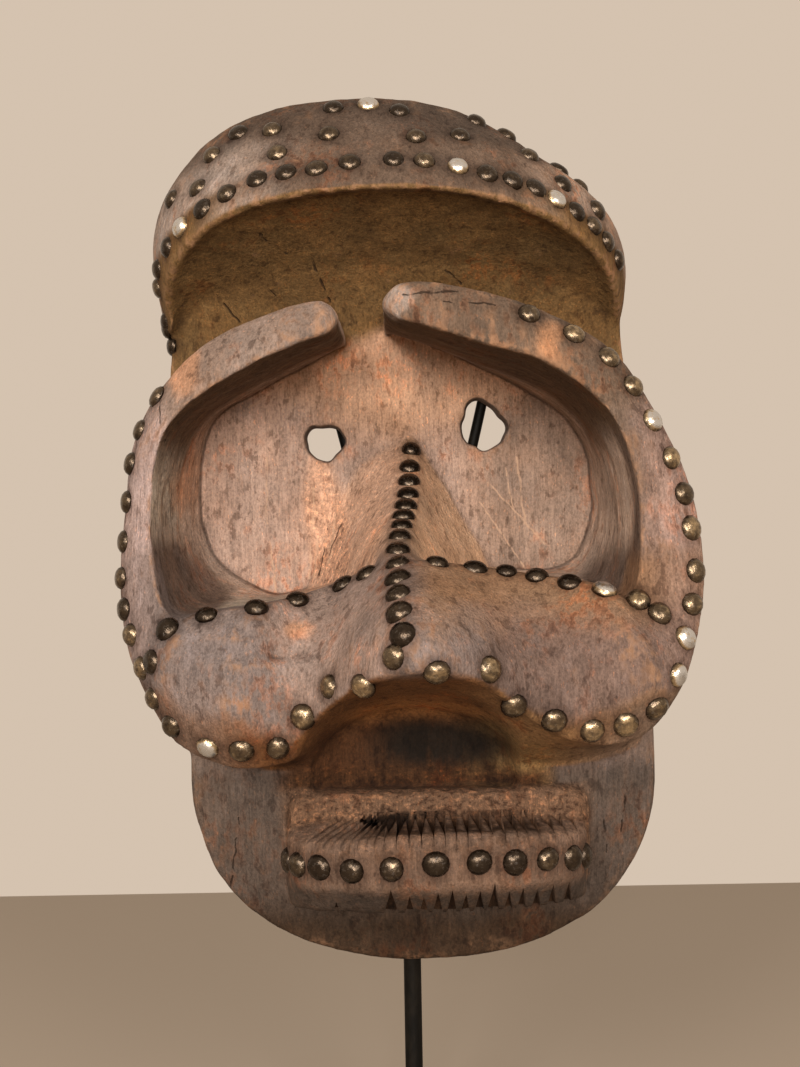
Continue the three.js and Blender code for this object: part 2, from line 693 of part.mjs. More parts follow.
function trianglesOf(solid) {
  const geometry = geometryOf(solid);
  const position = geometry.getAttribute("position");
  const index = geometry.getIndex();
  const triangles = [];
  const corner = (i) => new THREE.Vector3().fromBufferAttribute(position, index.getX(i));
  for (let i = 0; i < index.count; i += 3) {
    const corners = [corner(i), corner(i + 1), corner(i + 2)];
    const triangle = new THREE.Triangle(...corners);
    const facing = triangle.getNormal(new THREE.Vector3());
    const box = new THREE.Box3().setFromPoints(corners);
    triangles.push({ triangle, facing, box, area: triangle.getArea() });
  }
  return triangles;
}

// Places along a curve at the given pitches, the first at its start
function rowAlong(points, pitches) {
  const curve = curveThrough(points);
  curve.arcLengthDivisions = 400;
  const whole = curve.getLength();
  let reach = 0;
  return [0, ...pitches].map((pitch) => {
    reach += pitch;
    return curve.getPointAt(Math.min(1, reach / whole));
  });
}

// The rim row follows the outer edge of the cheeks, a little way in
function rimPoints() {
  return cheekStations.slice(3, 26).map(({ outer, ridge }) => {
    const [x, , up] = outer;
    const inset = up < -40 ? 9 : (x < 0 ? 1.5 : 5);
    const way = new THREE.Vector3().subVectors(place(ridge), place(outer)).normalize();
    const point = place(outer).addScaledVector(way, inset);
    return [point.x, -point.y, point.z];
  });
}

// Places round the cap: share of the half turn from its right side to its left, and level
function capRow(places) {
  return places.map(([share, level]) => {
    const above = capLevels.findIndex((entry) => entry.level >= level);
    const high = capLevels[above];
    const low = capLevels[Math.max(0, above - 1)];
    const part = high === low ? 0 : (level - low.level) / (high.level - low.level);
    const [across, round] = capShares(Math.PI * Math.min(1, share));
    const along = mix(low.front, high.front, part) * (round - Math.max(0, share - 1));
    const halfWidth = mix(low.halfWidth, high.halfWidth, part);
    return capPoint(mix(low.centre, high.centre, part) + halfWidth * across, along, level);
  });
}

// A place on the mouth band's front line: share of its half-width from the middle
function onBand([across, level]) {
  const up = mouthBand.up + bandSag(across) + level;
  return [mouthBand.centre + across * mouthBand.halfWidth, bandForward(across), up];
}

const rimRow = rowAlong(rimPoints(), rimPitches);
const nosePath = [[5.4, 4, 36.5], [4, 34, 19], [1, 62, 5], [-1, 96, -7], [-2, 130, -20], [-1, 149, -34]];
const crestLeftPath = [
  [-14, 94, -14], [-26, 88, -19], [-41, 93, -24], [-57, 104, -27], [-76, 100, -29], [-88, 100, -36],
  [-92.5, 100, -47.5],
];
const crestRightPath = [
  [14, 101, -11], [29, 97, -13], [41, 95, -15], [52, 98, -17], [76, 111, -22], [88, 112, -26],
  [95, 113, -33],
];
const namedRows = {
  nose: rowAlong(nosePath, nosePitches),
  crest_left: rowAlong(crestLeftPath, crestLeftPitches),
  crest_right: rowAlong(crestRightPath, crestRightPitches),
  mouth: mouthPlaces.map((spot) => place(onBand(spot))),
  lip: rimRow.slice(11, 26).map((point, i) => {
    const [across, up] = lipStrays[i];
    return point.clone().add(new THREE.Vector3(across, 0, up));
  }),
};
const fusedRows = [
  rimRow.slice(0, 11),
  rimRow.slice(26),
  capRow(capLowRow),
  capRow(capMiddleRow),
  capRow(capHighRow),
];

const group = new THREE.Group();
const mask = new THREE.Group();
mask.position.set(0, baseForward, carvingHeight);
group.add(mask);

function addPiece(parent, name, solid, material) {
  const mesh = new THREE.Mesh(geometryOf(solid), material);
  mesh.name = name;
  parent.add(mesh);
  return mesh;
}

let carving = carvedSolid();
const surface = trianglesOf(carving);
const upright = new THREE.Vector3(0, 0, 1);
const tackSense = new THREE.Vector3(0, -0.8, 0.6);

function turned(solid, { point, normal }) {
  const turn = new THREE.Quaternion().setFromUnitVectors(upright, normal);
  const matrix = new THREE.Matrix4().compose(point, turn, new THREE.Vector3(1, 1, 1));
  return solid.transform(matrix.elements);
}

const fineTack = tackSolid(tack.sides, 0);
for (const [row, points] of Object.entries(namedRows)) {
  points.forEach((point, i) => {
    const seat = seatOn(surface, point, tackSense);
    const lift = riseUnder(surface, seat) + fittingGap;
    const mesh = addPiece(mask, `tack_${row}_${String(i + 1).padStart(2, "0")}`, fineTack, brass);
    mesh.position.copy(seat.point).addScaledVector(seat.normal, lift);
    mesh.quaternion.setFromUnitVectors(upright, seat.normal);
  });
}

const plainTack = tackSolid(tack.plainSides, tack.plainSeat);
for (const point of fusedRows.flat()) {
  carving = carving.add(turned(plainTack, seatOn(surface, point, tackSense)));
}

addPiece(mask, "mask_body", carving, wood);
addPiece(mask, "stand_rod", standRodSolid(), steel);
addPiece(group, "stand_base", standBaseSolid(), steel);

export default group;
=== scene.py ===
import itertools
import json
import math

import bmesh
import bpy
import numpy as np
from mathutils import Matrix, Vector
from mathutils.bvhtree import BVHTree

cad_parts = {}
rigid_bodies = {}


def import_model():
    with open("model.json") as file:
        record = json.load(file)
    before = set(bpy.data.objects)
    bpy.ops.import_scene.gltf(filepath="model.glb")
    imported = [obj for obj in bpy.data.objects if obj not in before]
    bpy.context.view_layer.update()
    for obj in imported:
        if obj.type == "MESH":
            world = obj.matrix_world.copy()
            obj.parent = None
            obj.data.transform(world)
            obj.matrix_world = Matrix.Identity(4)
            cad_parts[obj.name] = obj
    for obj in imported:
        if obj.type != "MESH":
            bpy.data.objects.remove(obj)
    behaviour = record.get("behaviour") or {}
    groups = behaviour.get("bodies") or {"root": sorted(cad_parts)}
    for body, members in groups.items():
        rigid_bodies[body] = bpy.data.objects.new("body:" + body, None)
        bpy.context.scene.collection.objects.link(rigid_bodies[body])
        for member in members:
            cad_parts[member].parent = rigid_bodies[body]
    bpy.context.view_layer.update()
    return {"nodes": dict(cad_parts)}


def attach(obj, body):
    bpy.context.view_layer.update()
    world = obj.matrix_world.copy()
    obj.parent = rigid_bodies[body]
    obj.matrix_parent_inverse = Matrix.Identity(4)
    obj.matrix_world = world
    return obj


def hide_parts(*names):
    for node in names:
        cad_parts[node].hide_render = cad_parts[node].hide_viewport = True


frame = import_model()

scene = bpy.context.scene
for name in ("Cube", "Light", "Camera"):
    if name in bpy.data.objects:
        bpy.data.objects.remove(bpy.data.objects[name])

# Where the middle of the face plate stands in the frame, in millimetres
carving = {"height": 312.0, "forward": 22.0}


# Points of x, forward and up, each of them a row of values or one number for all
def at(x, forward, up):
    return np.stack(np.broadcast_arrays(x, forward, up), -1)


# [x, forward, up] in millimetres from the middle of the face plate, as metres in the frame
def toFrame(points):
    x, forward, up = np.moveaxis(np.asarray(points, float), -1, 0)
    return at(x, carving["forward"] - forward, carving["height"] + up) / 1000


# Metres in the frame as [x, forward, up] in millimetres
def toCarving(points):
    x, back, up = np.moveaxis(np.asarray(points, float) * 1000, -1, 0)
    return at(x, carving["forward"] - back, up - carving["height"])


# 0 up to low, 1 from high on, with a soft S between them
def ramp(value, low, high):
    share = np.clip((value - low) / (high - low), 0, 1)
    return share * share * (3 - 2 * share)


# 1 from full to fade, 0 before start and after end
def within(value, start, full, fade, end):
    return ramp(value, start, full) * ramp(value, end, fade)


# A share of the way from the first value to the second
def mix(a, b, share):
    return a + (b - a) * share


# 0 at both ends and 1 in the middle, along a parabola
def swell(part):
    return 4 * part * (1 - part)


# Angles once round
def fullTurn(count):
    return np.linspace(0, 2 * np.pi, count, endpoint=False)


# How far along a line of points each one lies
def walkedAlong(points):
    steps = np.linalg.norm(np.diff(points, axis=0), axis=1)
    return np.concatenate([[0], np.cumsum(steps)])


# A table's columns at places between its rows, by its first column
def tableAt(table, places):
    return [np.interp(places, table[:, 0], column) for column in table.T[1:]]


# Catmull-Rom curve through the points at shares from 0 to 1, carried on straight past its ends
def splineAt(points, shares):
    knots = np.asarray(points, float)
    knots = np.vstack([2 * knots[0] - knots[1], knots, 2 * knots[-1] - knots[-2]])
    place = np.asarray(shares) * (len(knots) - 3)
    first = np.minimum(place.astype(int), len(knots) - 4)
    part = (place - first)[:, None]
    a, b, c, d = (knots[first + step] for step in range(4))
    return b + 0.5 * part * (c - a + part * (2 * a - 5 * b + 4 * c - d + part * (3 * (b - c) + d - a)))


# Across and along shares of a superellipse, at an angle from its right side
def roundShares(angle, power):
    across = np.sign(np.cos(angle)) * np.abs(np.cos(angle)) ** (2 / power)
    return across, np.maximum(0, np.sin(angle)) ** (2 / power)


# Height of a superellipse over a share of its half width: 1 less the share to the power, all of
# it to one over the power
def bulgeShare(share, power):
    return (1 - np.abs(share) ** power) ** (1 / power)


# A mesh object at the origin, from points in metres and faces as lists of corners
def objectFrom(name, points, faces):
    mesh = bpy.data.meshes.new(name)
    mesh.from_pydata(np.asarray(points, float).tolist(), [], faces)
    mesh.update()
    piece = bpy.data.objects.new(name, mesh)
    bpy.context.collection.objects.link(piece)
    return piece


# All faces of a mesh shaded smooth
def shadeSmooth(mesh):
    mesh.polygons.foreach_set("use_smooth", [True] * len(mesh.polygons))


# Faces turned outwards, as lofts and wedges may come out either way
def pointOutwards(piece):
    shape = bmesh.new()
    shape.from_mesh(piece.data)
    bmesh.ops.recalc_face_normals(shape, faces=shape.faces[:])
    shape.to_mesh(piece.data)
    shape.free()


# Quads between the rows of a grid whose columns close on themselves, and a fan over both ends
def gridFaces(rows, columns):
    grid = np.arange(rows * columns).reshape(rows, columns)
    after = np.roll(grid, -1, axis=1)
    quads = np.stack([grid[:-1], after[:-1], after[1:], grid[1:]], -1).reshape(-1, 4)
    middle = np.full(columns, rows * columns)
    first = np.stack([after[0], grid[0], middle], -1)
    last = np.stack([grid[-1], after[-1], middle + 1], -1)
    return quads.tolist() + first.tolist() + last.tolist()


# Closed skin over rings of [x, forward, up] points
def loft(name, rings):
    rings = np.asarray(rings, float)
    points = np.concatenate([rings.reshape(-1, 3), rings[[0, -1]].mean(axis=1)])
    piece = objectFrom(name, toFrame(points), gridFaces(*rings.shape[:2]))
    pointOutwards(piece)
    return piece


# Booleans on a solid, in the order of the steps: what is done, and with which piece
def carve(solid, steps):
    for operation, tool in steps:
        cut = solid.modifiers.new(operation.lower(), "BOOLEAN")
        cut.operation = operation
        cut.solver = "MANIFOLD"
        cut.object = tool


# Camera: at the height of the lower lids, level, with the photograph's slight roll
view = {"height": 0.312, "distance": 0.54, "roll": 1.0, "sensor": 36, "focal": 1150, "pixels": 1067}
camera = bpy.data.objects.new("camera", bpy.data.cameras.new("camera"))
camera.data.sensor_width = view["sensor"]
camera.data.lens = view["focal"] / view["pixels"] * view["sensor"]
camera.location = (0, carving["forward"] / 1000 - view["distance"], view["height"])
camera.rotation_euler = (math.radians(90), math.radians(view["roll"]), 0)
bpy.context.collection.objects.link(camera)
scene.camera = camera

floor = {"back": 0.49, "front": -2.4, "side": 2.2, "tone": (0.3, 0.25, 0.198)}
lamps = {
    "left": {"place": (-0.55, -1.2, 0.85), "size": 0.45, "watts": 11, "tone": (1, 0.93, 0.86)},
    "right": {"place": (0.6, -1.2, 0.8), "size": 0.45, "watts": 8, "tone": (1, 0.93, 0.86)},
    "front": {"place": (-0.05, -1.45, 0.5), "size": 0.5, "watts": 19, "tone": (1, 0.92, 0.84)},
}
lampsAim = (0, -0.03, 0.33)
surroundings = {"tone": (0.83, 0.68, 0.54), "strength": 0.8}


# A floor that is stage, three round lamps aimed at the mask, and an even sky
def addStage():
    corners = [(-floor["side"], floor["front"], 0), (floor["side"], floor["front"], 0),
               (floor["side"], floor["back"], 0), (-floor["side"], floor["back"], 0)]
    ground = objectFrom("floor", corners, [(0, 1, 2, 3)])
    paint = bpy.data.materials.new("pale floor")
    paint.use_nodes = True
    surface = paint.node_tree.nodes["Principled BSDF"]
    surface.inputs["Base Color"].default_value = (*floor["tone"], 1)
    surface.inputs["Roughness"].default_value = 0.8
    ground.data.materials.append(paint)
    for name, lamp in lamps.items():
        light = bpy.data.lights.new(name, "AREA")
        light.shape = "DISK"
        light.size = lamp["size"]
        light.energy = lamp["watts"]
        light.color = lamp["tone"]
        holder = bpy.data.objects.new(name, light)
        holder.location = lamp["place"]
        aim = Vector(lampsAim) - holder.location
        holder.rotation_euler = aim.to_track_quat("-Z", "Y").to_euler()
        bpy.context.collection.objects.link(holder)
    world = bpy.data.worlds.new("studio")
    world.use_nodes = True
    backdrop = world.node_tree.nodes["Background"]
    backdrop.inputs["Color"].default_value = (*surroundings["tone"], 1)
    backdrop.inputs["Strength"].default_value = surroundings["strength"]
    scene.world = world
    scene.view_settings.view_transform = "Standard"


addStage()
print("camera, floor and lights are placed")

shell = {"halfWidth": 109, "top": 110, "bottom": -97, "back": -170, "jawTaper": 22, "crownTaper": 4}
jaw = {"centre": 7.5, "halfWidth": 93.5, "top": -95, "bottom": -171, "power": 2.3, "edge": 80,
       "middle": 90, "rounding": [(1, 2.5), (0.992, 0.6)]}


# The shell's outline narrows with the square of the height, and its front is flat
def shellPiece():
    up = np.linspace(shell["bottom"], shell["top"], 40)
    down = up < 0
    narrowing = np.where(down, shell["jawTaper"] * (up / shell["bottom"]) ** 2,
                         shell["crownTaper"] * (up / shell["top"]) ** 2)
    centre = np.where(down, jaw["centre"] * up / shell["bottom"], 0)
    half = shell["halfWidth"] - narrowing
    across = np.concatenate([centre - half, (centre + half)[::-1]])
    high = np.concatenate([up, up[::-1]])
    return loft("shell", [at(across, forward, high) for forward in (shell["back"], 0)])


# A superellipse U carried forward, whose front swells with the square of the distance inwards
def jawPiece():
    across, down = roundShares(np.linspace(0, np.pi, 90), jaw["power"])
    across = np.concatenate([[1], across, [-1]])
    down = np.concatenate([[-0.5], down, [-0.5]])
    depth = jaw["top"] - jaw["bottom"]
    shares = np.linspace(0.98, 0.04, 14)
    front = jaw["edge"] + (jaw["middle"] - jaw["edge"]) * (1 - shares ** 2)
    rings = [(1, shell["back"])] + [(share, jaw["edge"] - behind) for share, behind in jaw["rounding"]]
    return loft("jaw", [at(jaw["centre"] + across * jaw["halfWidth"] * share, reach,
                           jaw["top"] - down * depth * share)
                        for share, reach in rings + list(zip(shares, front))])


cheekStations = np.array([
    # outer edge x, forward, up; ridge x, forward, up; foot x, up
    [-24, 92, 92, -22, 95, 79.5, -22, 91], [-44, 88, 89.5, -40, 98, 73.5, -40, 81],
    [-76, 84, 77, -66, 97, 61, -64, 69], [-97, 80, 57, -85, 95, 48, -84, 57],
    [-107, 78, 36, -94, 94, 32, -92, 37], [-111, 79, 5, -97, 93, 4, -93, 12],
    [-112, 82, -24, -94, 97, -18, -88, -6], [-106, 88, -50, -88, 100, -30, -80, -16],
    [-89, 100, -77, -74, 99, -28.5, -70, -23], [-66, 106, -87.5, -55, 104, -26, -58, -28],
    [-46, 108, -86, -41, 93, -23.5, -46, -26], [-30, 117, -74, -26, 86, -19, -30, -25],
    [-15, 136, -58, -13, 93, -14, -14, -25], [7, 149, -50, 0, 105, -10, 5, -25],
    [28, 142, -54, 22, 98, -12, 22, -22], [44, 130, -66, 40, 95, -14.5, 40, -18],
    [66, 123, -78, 58, 102, -17.5, 56, -18], [88, 120, -75.5, 76, 111, -21, 70, -18],
    [104, 118, -56, 85, 110, -26, 80, -13], [114, 108, -28, 89, 110, -16, 86, -4],
    [115.5, 102, -8, 90, 110, -2, 90, 10], [112, 98, 17, 90, 108, 14, 90, 20],
    [103, 98, 38, 85, 108, 34, 88, 36], [86, 96, 67, 75, 107, 50, 78, 53],
    [59, 97, 84, 56, 106, 64, 58, 67], [32, 98, 93, 31, 105, 72, 34, 80],
    [8, 97, 97, 8, 102, 80, 9, 91], [-6, 96, 94, -5, 100, 84, -6, 97],
], float)
cheek = {"sections": 420, "back": -8, "bulge": 2, "hornFoot": 70, "hornRise": 25, "hornLift": 13,
         "muzzleHalfWidth": 112, "muzzleFade": 15, "muzzleBulge": 13, "noseCentre": 4, "noseHalfWidth": 40,
         "noseBulge": 5, "underForward": 76, "underHeight": -105, "underArch": 14, "underCentre": 8,
         "underHalfWidth": 85, "underHollow": 4, "narrowing": 0.95, "tipRadius": 7.5, "tipFall": 7,
         "tipLeast": 0.004, "wallHollow": 2.2}


# One band from horn tip to horn tip. Its section runs from the face plate up the hollowed inner
# wall to the ridge, over the bulging face to the outer edge, and back under or behind it.
# Towards both tips the section shrinks like the end of a finger.
def cheekPiece():
    shares = np.linspace(0, 1, cheek["sections"])
    edge = splineAt(cheekStations[:, :3], shares)
    crest = splineAt(cheekStations[:, 3:6], shares)
    foot = splineAt(np.insert(cheekStations[:, 6:], 1, 0, axis=1), shares)
    near = np.clip((cheek["muzzleHalfWidth"] - np.abs(edge[:, 0])) / cheek["muzzleFade"], 0, 1)
    muzzle = np.where(edge[:, 2] < 0, near, 0)
    lift = cheek["hornLift"] * np.clip((edge[:, 2] - cheek["hornFoot"]) / cheek["hornRise"], 0, 1)
    nearNose = np.clip(1 - np.abs(edge[:, 0] - cheek["noseCentre"]) / cheek["noseHalfWidth"], 0, 1)
    bulge = cheek["bulge"] + muzzle * (cheek["muzzleBulge"] - cheek["bulge"] + cheek["noseBulge"] * nearNose)
    rows = [at(foot[:, 0], cheek["back"], foot[:, 2])]
    for part in np.linspace(0, 1, 12)[:-1]:
        point = mix(foot, crest, 1 - (1 - part) ** cheek["wallHollow"])
        point[:, 1] = mix(foot[:, 1], crest[:, 1], part)
        rows.append(point)
    for part in np.linspace(0, 1, 14):
        point = mix(crest, edge, part)
        point[:, 1] += bulge * swell(part)
        rows.append(point)
    arch = ((edge[:, 0] - cheek["underCentre"]) / cheek["underHalfWidth"]) ** 2
    underFoot = cheek["underHeight"] + cheek["underArch"] * arch
    under = at(mix(edge[:, 0], edge[:, 0] * cheek["narrowing"], muzzle),
               mix(edge[:, 1] * 0.5, cheek["underForward"], muzzle),
               mix(edge[:, 2] + lift / 2, underFoot, muzzle))
    for part in np.linspace(0, 1, 9)[1:]:
        point = mix(edge, under, part)
        point[:, 2] += cheek["underHollow"] * muzzle * swell(part)
        rows.append(point)
    rows.append(at(under[:, 0], cheek["back"], mix(edge[:, 2] + lift, under[:, 2], muzzle)))
    rings = np.stack(rows, 1)
    middle = (edge + crest) / 2
    walked = walkedAlong(middle)
    toTip = np.minimum(walked, walked[-1] - walked) / cheek["tipRadius"]
    pinch = np.sqrt(np.clip(1 - np.clip(1 - toTip, 0, 1) ** 2, cheek["tipLeast"], 1))[:, None]
    for axis in (0, 2):
        line = middle[:, axis, None]
        rings[:, :, axis] = line + (rings[:, :, axis] - line) * pinch
    rings[:, :, 1] -= cheek["tipFall"] * (1 - pinch) * (rings[:, :, 1] > 50)
    return loft("cheeks", rings)


noseStations = np.array([
    # ridge x, forward, up; left foot x, up; right foot x, up
    [5.5, 0, 47, 0, 46, 11, 46], [5, 10, 35, -20, 36, 19, 29], [4, 34, 18.5, -29, 22, 27, 16],
    [1, 62, 5, -36, 5, 33, 3], [-1, 96, -7, -42, -14, 40, -9], [-2, 106, -17, -46, -28, 46, -24],
], float)
nose = {"sections": 90, "ridgeWidth": 9, "hollowing": 0.16, "back": -8, "crown": 1.2}


# A rounded ridge over two flanks, each hollowed by a share of the ridge's own height
def nosePiece():
    shares = np.linspace(0, 1, nose["sections"])
    ridge = splineAt(noseStations[:, :3], shares)
    feet = [splineAt(np.insert(noseStations[:, pair], 1, 0, axis=1), shares) for pair in ([3, 4], [5, 6])]
    half = np.zeros_like(ridge)
    half[:, 0] = nose["ridgeWidth"] / 2 * np.clip(0.3 + shares * 3, 0, 1)
    sides = []
    for foot, top in zip(feet, (ridge - half, ridge + half)):
        rows = [at(foot[:, 0], nose["back"], foot[:, 2])]
        for part in np.linspace(0, 1, 12):
            point = mix(foot, top, part)
            point[:, 1] -= nose["hollowing"] * ridge[:, 1] * swell(part)
            rows.append(point)
        sides.append(rows)
    over = []
    for part in np.linspace(-1, 1, 7)[1:-1]:
        point = ridge + half * part
        point[:, 1] += nose["crown"] * (1 - part ** 2)
        over.append(point)
    return loft("nose", np.stack(sides[0] + over + sides[1][::-1], 1))


cap = {"rimHeight": 95, "rise": math.radians(34), "leftPower": 2.5, "rightPower": 2.1, "back": -150,
       "rings": 64, "steps": 120}
capLevels = np.array([
    # level over the rim plane, centre, half-width, front
    [0, -1, 105, 84.5], [12, -1.5, 109.5, 85], [31, -2.5, 112.5, 84], [44, -7.5, 107, 83],
    [53, -10.5, 101, 82.5], [60, -12, 95, 81.5], [66, -11.5, 86, 78.5], [70.5, -9, 70, 63],
    [73, -8, 38, 36],
], float)
capScoop = [(-12, 3), (0, 3), (4, 8), (7, 17), (9, 30), (10.5, 48)]
skull = {"centre": -3, "power": 2.4, "stations": [(-170, 170, 106), (-1, 187, 106), (16, 186, 98)]}


# A point across, along the rising rim plane to the front, and at a level off it
def capPoint(x, along, level):
    forward = along * math.cos(cap["rise"]) - level * math.sin(cap["rise"])
    up = cap["rimHeight"] + along * math.sin(cap["rise"]) + level * math.cos(cap["rise"])
    return at(x, forward, up)


# Superellipse shares with a power of their own on either side
def capShares(angle):
    return roundShares(angle, np.where(np.cos(angle) > 0, cap["rightPower"], cap["leftPower"]))


# A superellipse round the cap's front at one level, carried straight back from both its ends
def capRing(level, centre, halfWidth, front):
    across, along = capShares(np.linspace(np.pi, 0, cap["steps"]))
    across = np.concatenate([[-1], across, [1]])
    along = np.concatenate([[cap["back"]], front * along, [cap["back"]]])
    return capPoint(centre + halfWidth * across, along, level)


# U rings stacked on the rim plane, less the scoop under them, and a rounded skull behind
def capPiece():
    block = loft("cap", [capRing(*level) for level in splineAt(capLevels, np.linspace(0, 1, cap["rings"]))])
    rim = capLevels[0]
    scoop = loft("capScoop", [capRing(level, rim[1], rim[2] - inset, rim[3] - inset)
                              for level, inset in splineAt(capScoop, np.linspace(0, 1, 16))])
    across, high = roundShares(np.linspace(np.pi, 0, 80), skull["power"])
    dome = loft("skull", [at(skull["centre"] + halfWidth * across, forward, mix(cap["rimHeight"], top, high))
                          for forward, top, halfWidth in skull["stations"]])
    carve(block, [("UNION", dome), ("DIFFERENCE", scoop)])
    return block


hollowLevels = np.array([
    # up, centre, half-width, forward
    [-152, 7.5, 34, 42], [-142, 7.5, 62, 64], [-125, 7.5, 75, 69], [-100, 7.5, 79, 67],
    [-75, 4, 82, 58], [-55, 2, 88, 35], [-40, 0, 93, 4], [-30, 0, 94, -12], [30, 0, 95, -12],
    [108, -1, 95, -12], [125, -1, 91, 6], [140, -1, 86, 26], [158, -1, 70, 34], [168, -1, 46, 22],
], float)
hollowFront = np.array([[-1, 26], [-0.93, 9], [-0.75, 1.5], [0, 0], [0.75, 1.5], [0.93, 9], [1, 26]])
backRim = {"forward": -46, "lean": 0.305, "reach": 400}


# Room behind the face: at each height a front wall that curves back to its sides
def hollowPiece():
    heights = np.linspace(-152, 168, 110)
    share = np.linspace(-1, 1, 41)
    back = tableAt(hollowFront, share)[0]
    rings = []
    for up, centre, half, forward in zip(heights, *tableAt(hollowLevels, heights)):
        reach = np.concatenate([[shell["back"] - 20], forward - back, [shell["back"] - 20]])
        across = centre + half * np.concatenate([[-1], share, [1]])
        rings.append(at(across, reach, up))
    return loft("hollow", rings)


# All that lies behind the leaning back rim
def behindPiece():
    reach = backRim["reach"]
    low, high = (backRim["forward"] - backRim["lean"] * up for up in (-reach, reach))
    return loft("behind", [[(x, low, -reach), (x, high, reach), (x, high - 2 * reach, reach),
                            (x, low - 2 * reach, -reach)] for x in (-reach, reach)])


pocket = {"centre": 4, "halfWidth": 42, "foot": -101, "crown": -68, "power": 2.2, "back": 80,
          "rings": [(0, -9), (2, -4), (5, -1.2), (9, 0), (90, 27)]}


# An arch that widens towards the front
def pocketPiece():
    across, high = roundShares(np.linspace(np.pi, 0, 60), pocket["power"])
    return loft("pocket", [at(pocket["centre"] + (pocket["halfWidth"] + size) * across,
                              pocket["back"] + reach, mix(pocket["foot"], pocket["crown"] + size, high))
                           for reach, size in pocket["rings"]])


eyeHoles = [
    {"name": "leftEye", "x": -34.7, "up": 43.5, "halfWidth": 9, "halfHeight": 8, "peak": 0,
     "peakAngle": 2.0, "ragged": ((3, 0.4, 0.7), (5, 2.2, 0.4), (9, 1.0, 0.25))},
    {"name": "rightEye", "x": 40.5, "up": 48.5, "halfWidth": 10, "halfHeight": 9.5, "peak": 4.5,
     "peakAngle": 1.9, "ragged": ((4, 1.1, 0.5), (7, 0.3, 0.45), (11, 2.0, 0.25))},
]
# How much wider the holes are at each place forward
eyeFlare = [(-20, 0.4), (-6, 0), (-2, 0.3), (0, 1.2), (4, 2.6)]


# An ellipse with a drawn-out peak and a ragged edge of a few sine waves, flared at the front
def eyeHolePiece(hole):
    angle = fullTurn(64)
    drawn = hole["peak"] * np.maximum(0, np.cos(angle - hole["peakAngle"])) ** 6
    drawn = drawn + sum(size * np.sin(waves * angle + shift) for waves, shift, size in hole["ragged"])
    return loft(hole["name"], [at(hole["x"] + np.cos(angle) * (hole["halfWidth"] + flare + drawn), forward,
                                  hole["up"] + np.sin(angle) * (hole["halfHeight"] + flare + drawn))
                               for forward, flare in eyeFlare])


mouthBlock = {"left": -46, "right": 72, "top": -99, "bottom": -143, "forward": 95, "power": 7,
              "edge": [(-5, 0), (-2.5, 1), (-0.8, 2.8), (0, 5.5), (0.3, 12)]}
mouthBand = {"centre": 12, "halfWidth": 58, "up": -121, "forward": 125, "back": 84, "bow": 2.2,
             "power": 2.6, "inset": 4, "sag": 6, "sagFrom": 3, "sagMiddle": 0.1, "above": 15, "below": 24}
bandProfile = [(0.03, 11), (0.5, 10), (0.9, 9), (0.985, 6.5), (1.0, 3), (1.0, -4), (0.985, -8.5),
               (0.8, -14), (0.55, -20), (0, -23)]


# A block with a superellipse outline whose front edge is rounded off
def mouthBlockPiece():
    angle = fullTurn(96)
    shares = [np.sign(wave) * np.abs(wave) ** (2 / mouthBlock["power"])
              for wave in (np.cos(angle), np.sin(angle))]
    middle = (mouthBlock["left"] + mouthBlock["right"]) / 2, (mouthBlock["top"] + mouthBlock["bottom"]) / 2
    half = (mouthBlock["right"] - mouthBlock["left"]) / 2, (mouthBlock["top"] - mouthBlock["bottom"]) / 2
    edge = [(mouthBlock["forward"] + forward, inset) for forward, inset in mouthBlock["edge"]]
    return loft("mouthBlock", [at(middle[0] + shares[0] * (half[0] - inset), forward,
                                  middle[1] + shares[1] * (half[1] - inset))
                               for forward, inset in [(jaw["edge"] - 8, 0)] + edge])


# A place across, as a share of the band's half width from its middle
def bandShare(x):
    return (x - mouthBand["centre"]) / mouthBand["halfWidth"]


# The band's front line: a superellipse over the block's front
def bandForward(across):
    return mix(mouthBlock["forward"] - mouthBand["inset"], mouthBand["forward"],
               bulgeShare(across, mouthBand["power"]))


# The band's middle line falls with the square of the distance from its highest place
def bandSag(across):
    return mouthBand["sagFrom"] - mouthBand["sag"] * (across - mouthBand["sagMiddle"]) ** 2


# The band's section, carried across along a superellipse front line that sags at both ends
def mouthBandPiece():
    share, high = splineAt(bandProfile, np.linspace(0, 1, 44)).T
    share = np.minimum(share, 1.0)
    rings = []
    for across in np.sin(np.linspace(-1, 1, 90) * np.arcsin(0.985)):
        forward = mix(mouthBlock["forward"], bandForward(across), share)
        up = mouthBand["up"] + bandSag(across) * mix(0.3, 1, share) + high
        up = up + mouthBand["bow"] * (2.4 * across ** 2 - 1) * ramp(-high, 2, 12)
        forward = np.concatenate([[mouthBand["back"]], forward, [mouthBand["back"]]])
        up = np.concatenate([[mouthBand["up"] + mouthBand["above"]], up,
                             [mouthBand["up"] - mouthBand["below"]]])
        x = mouthBand["centre"] + across * mouthBand["halfWidth"]
        rings.append(at(x, forward, up))
    return loft("mouthBand", rings)


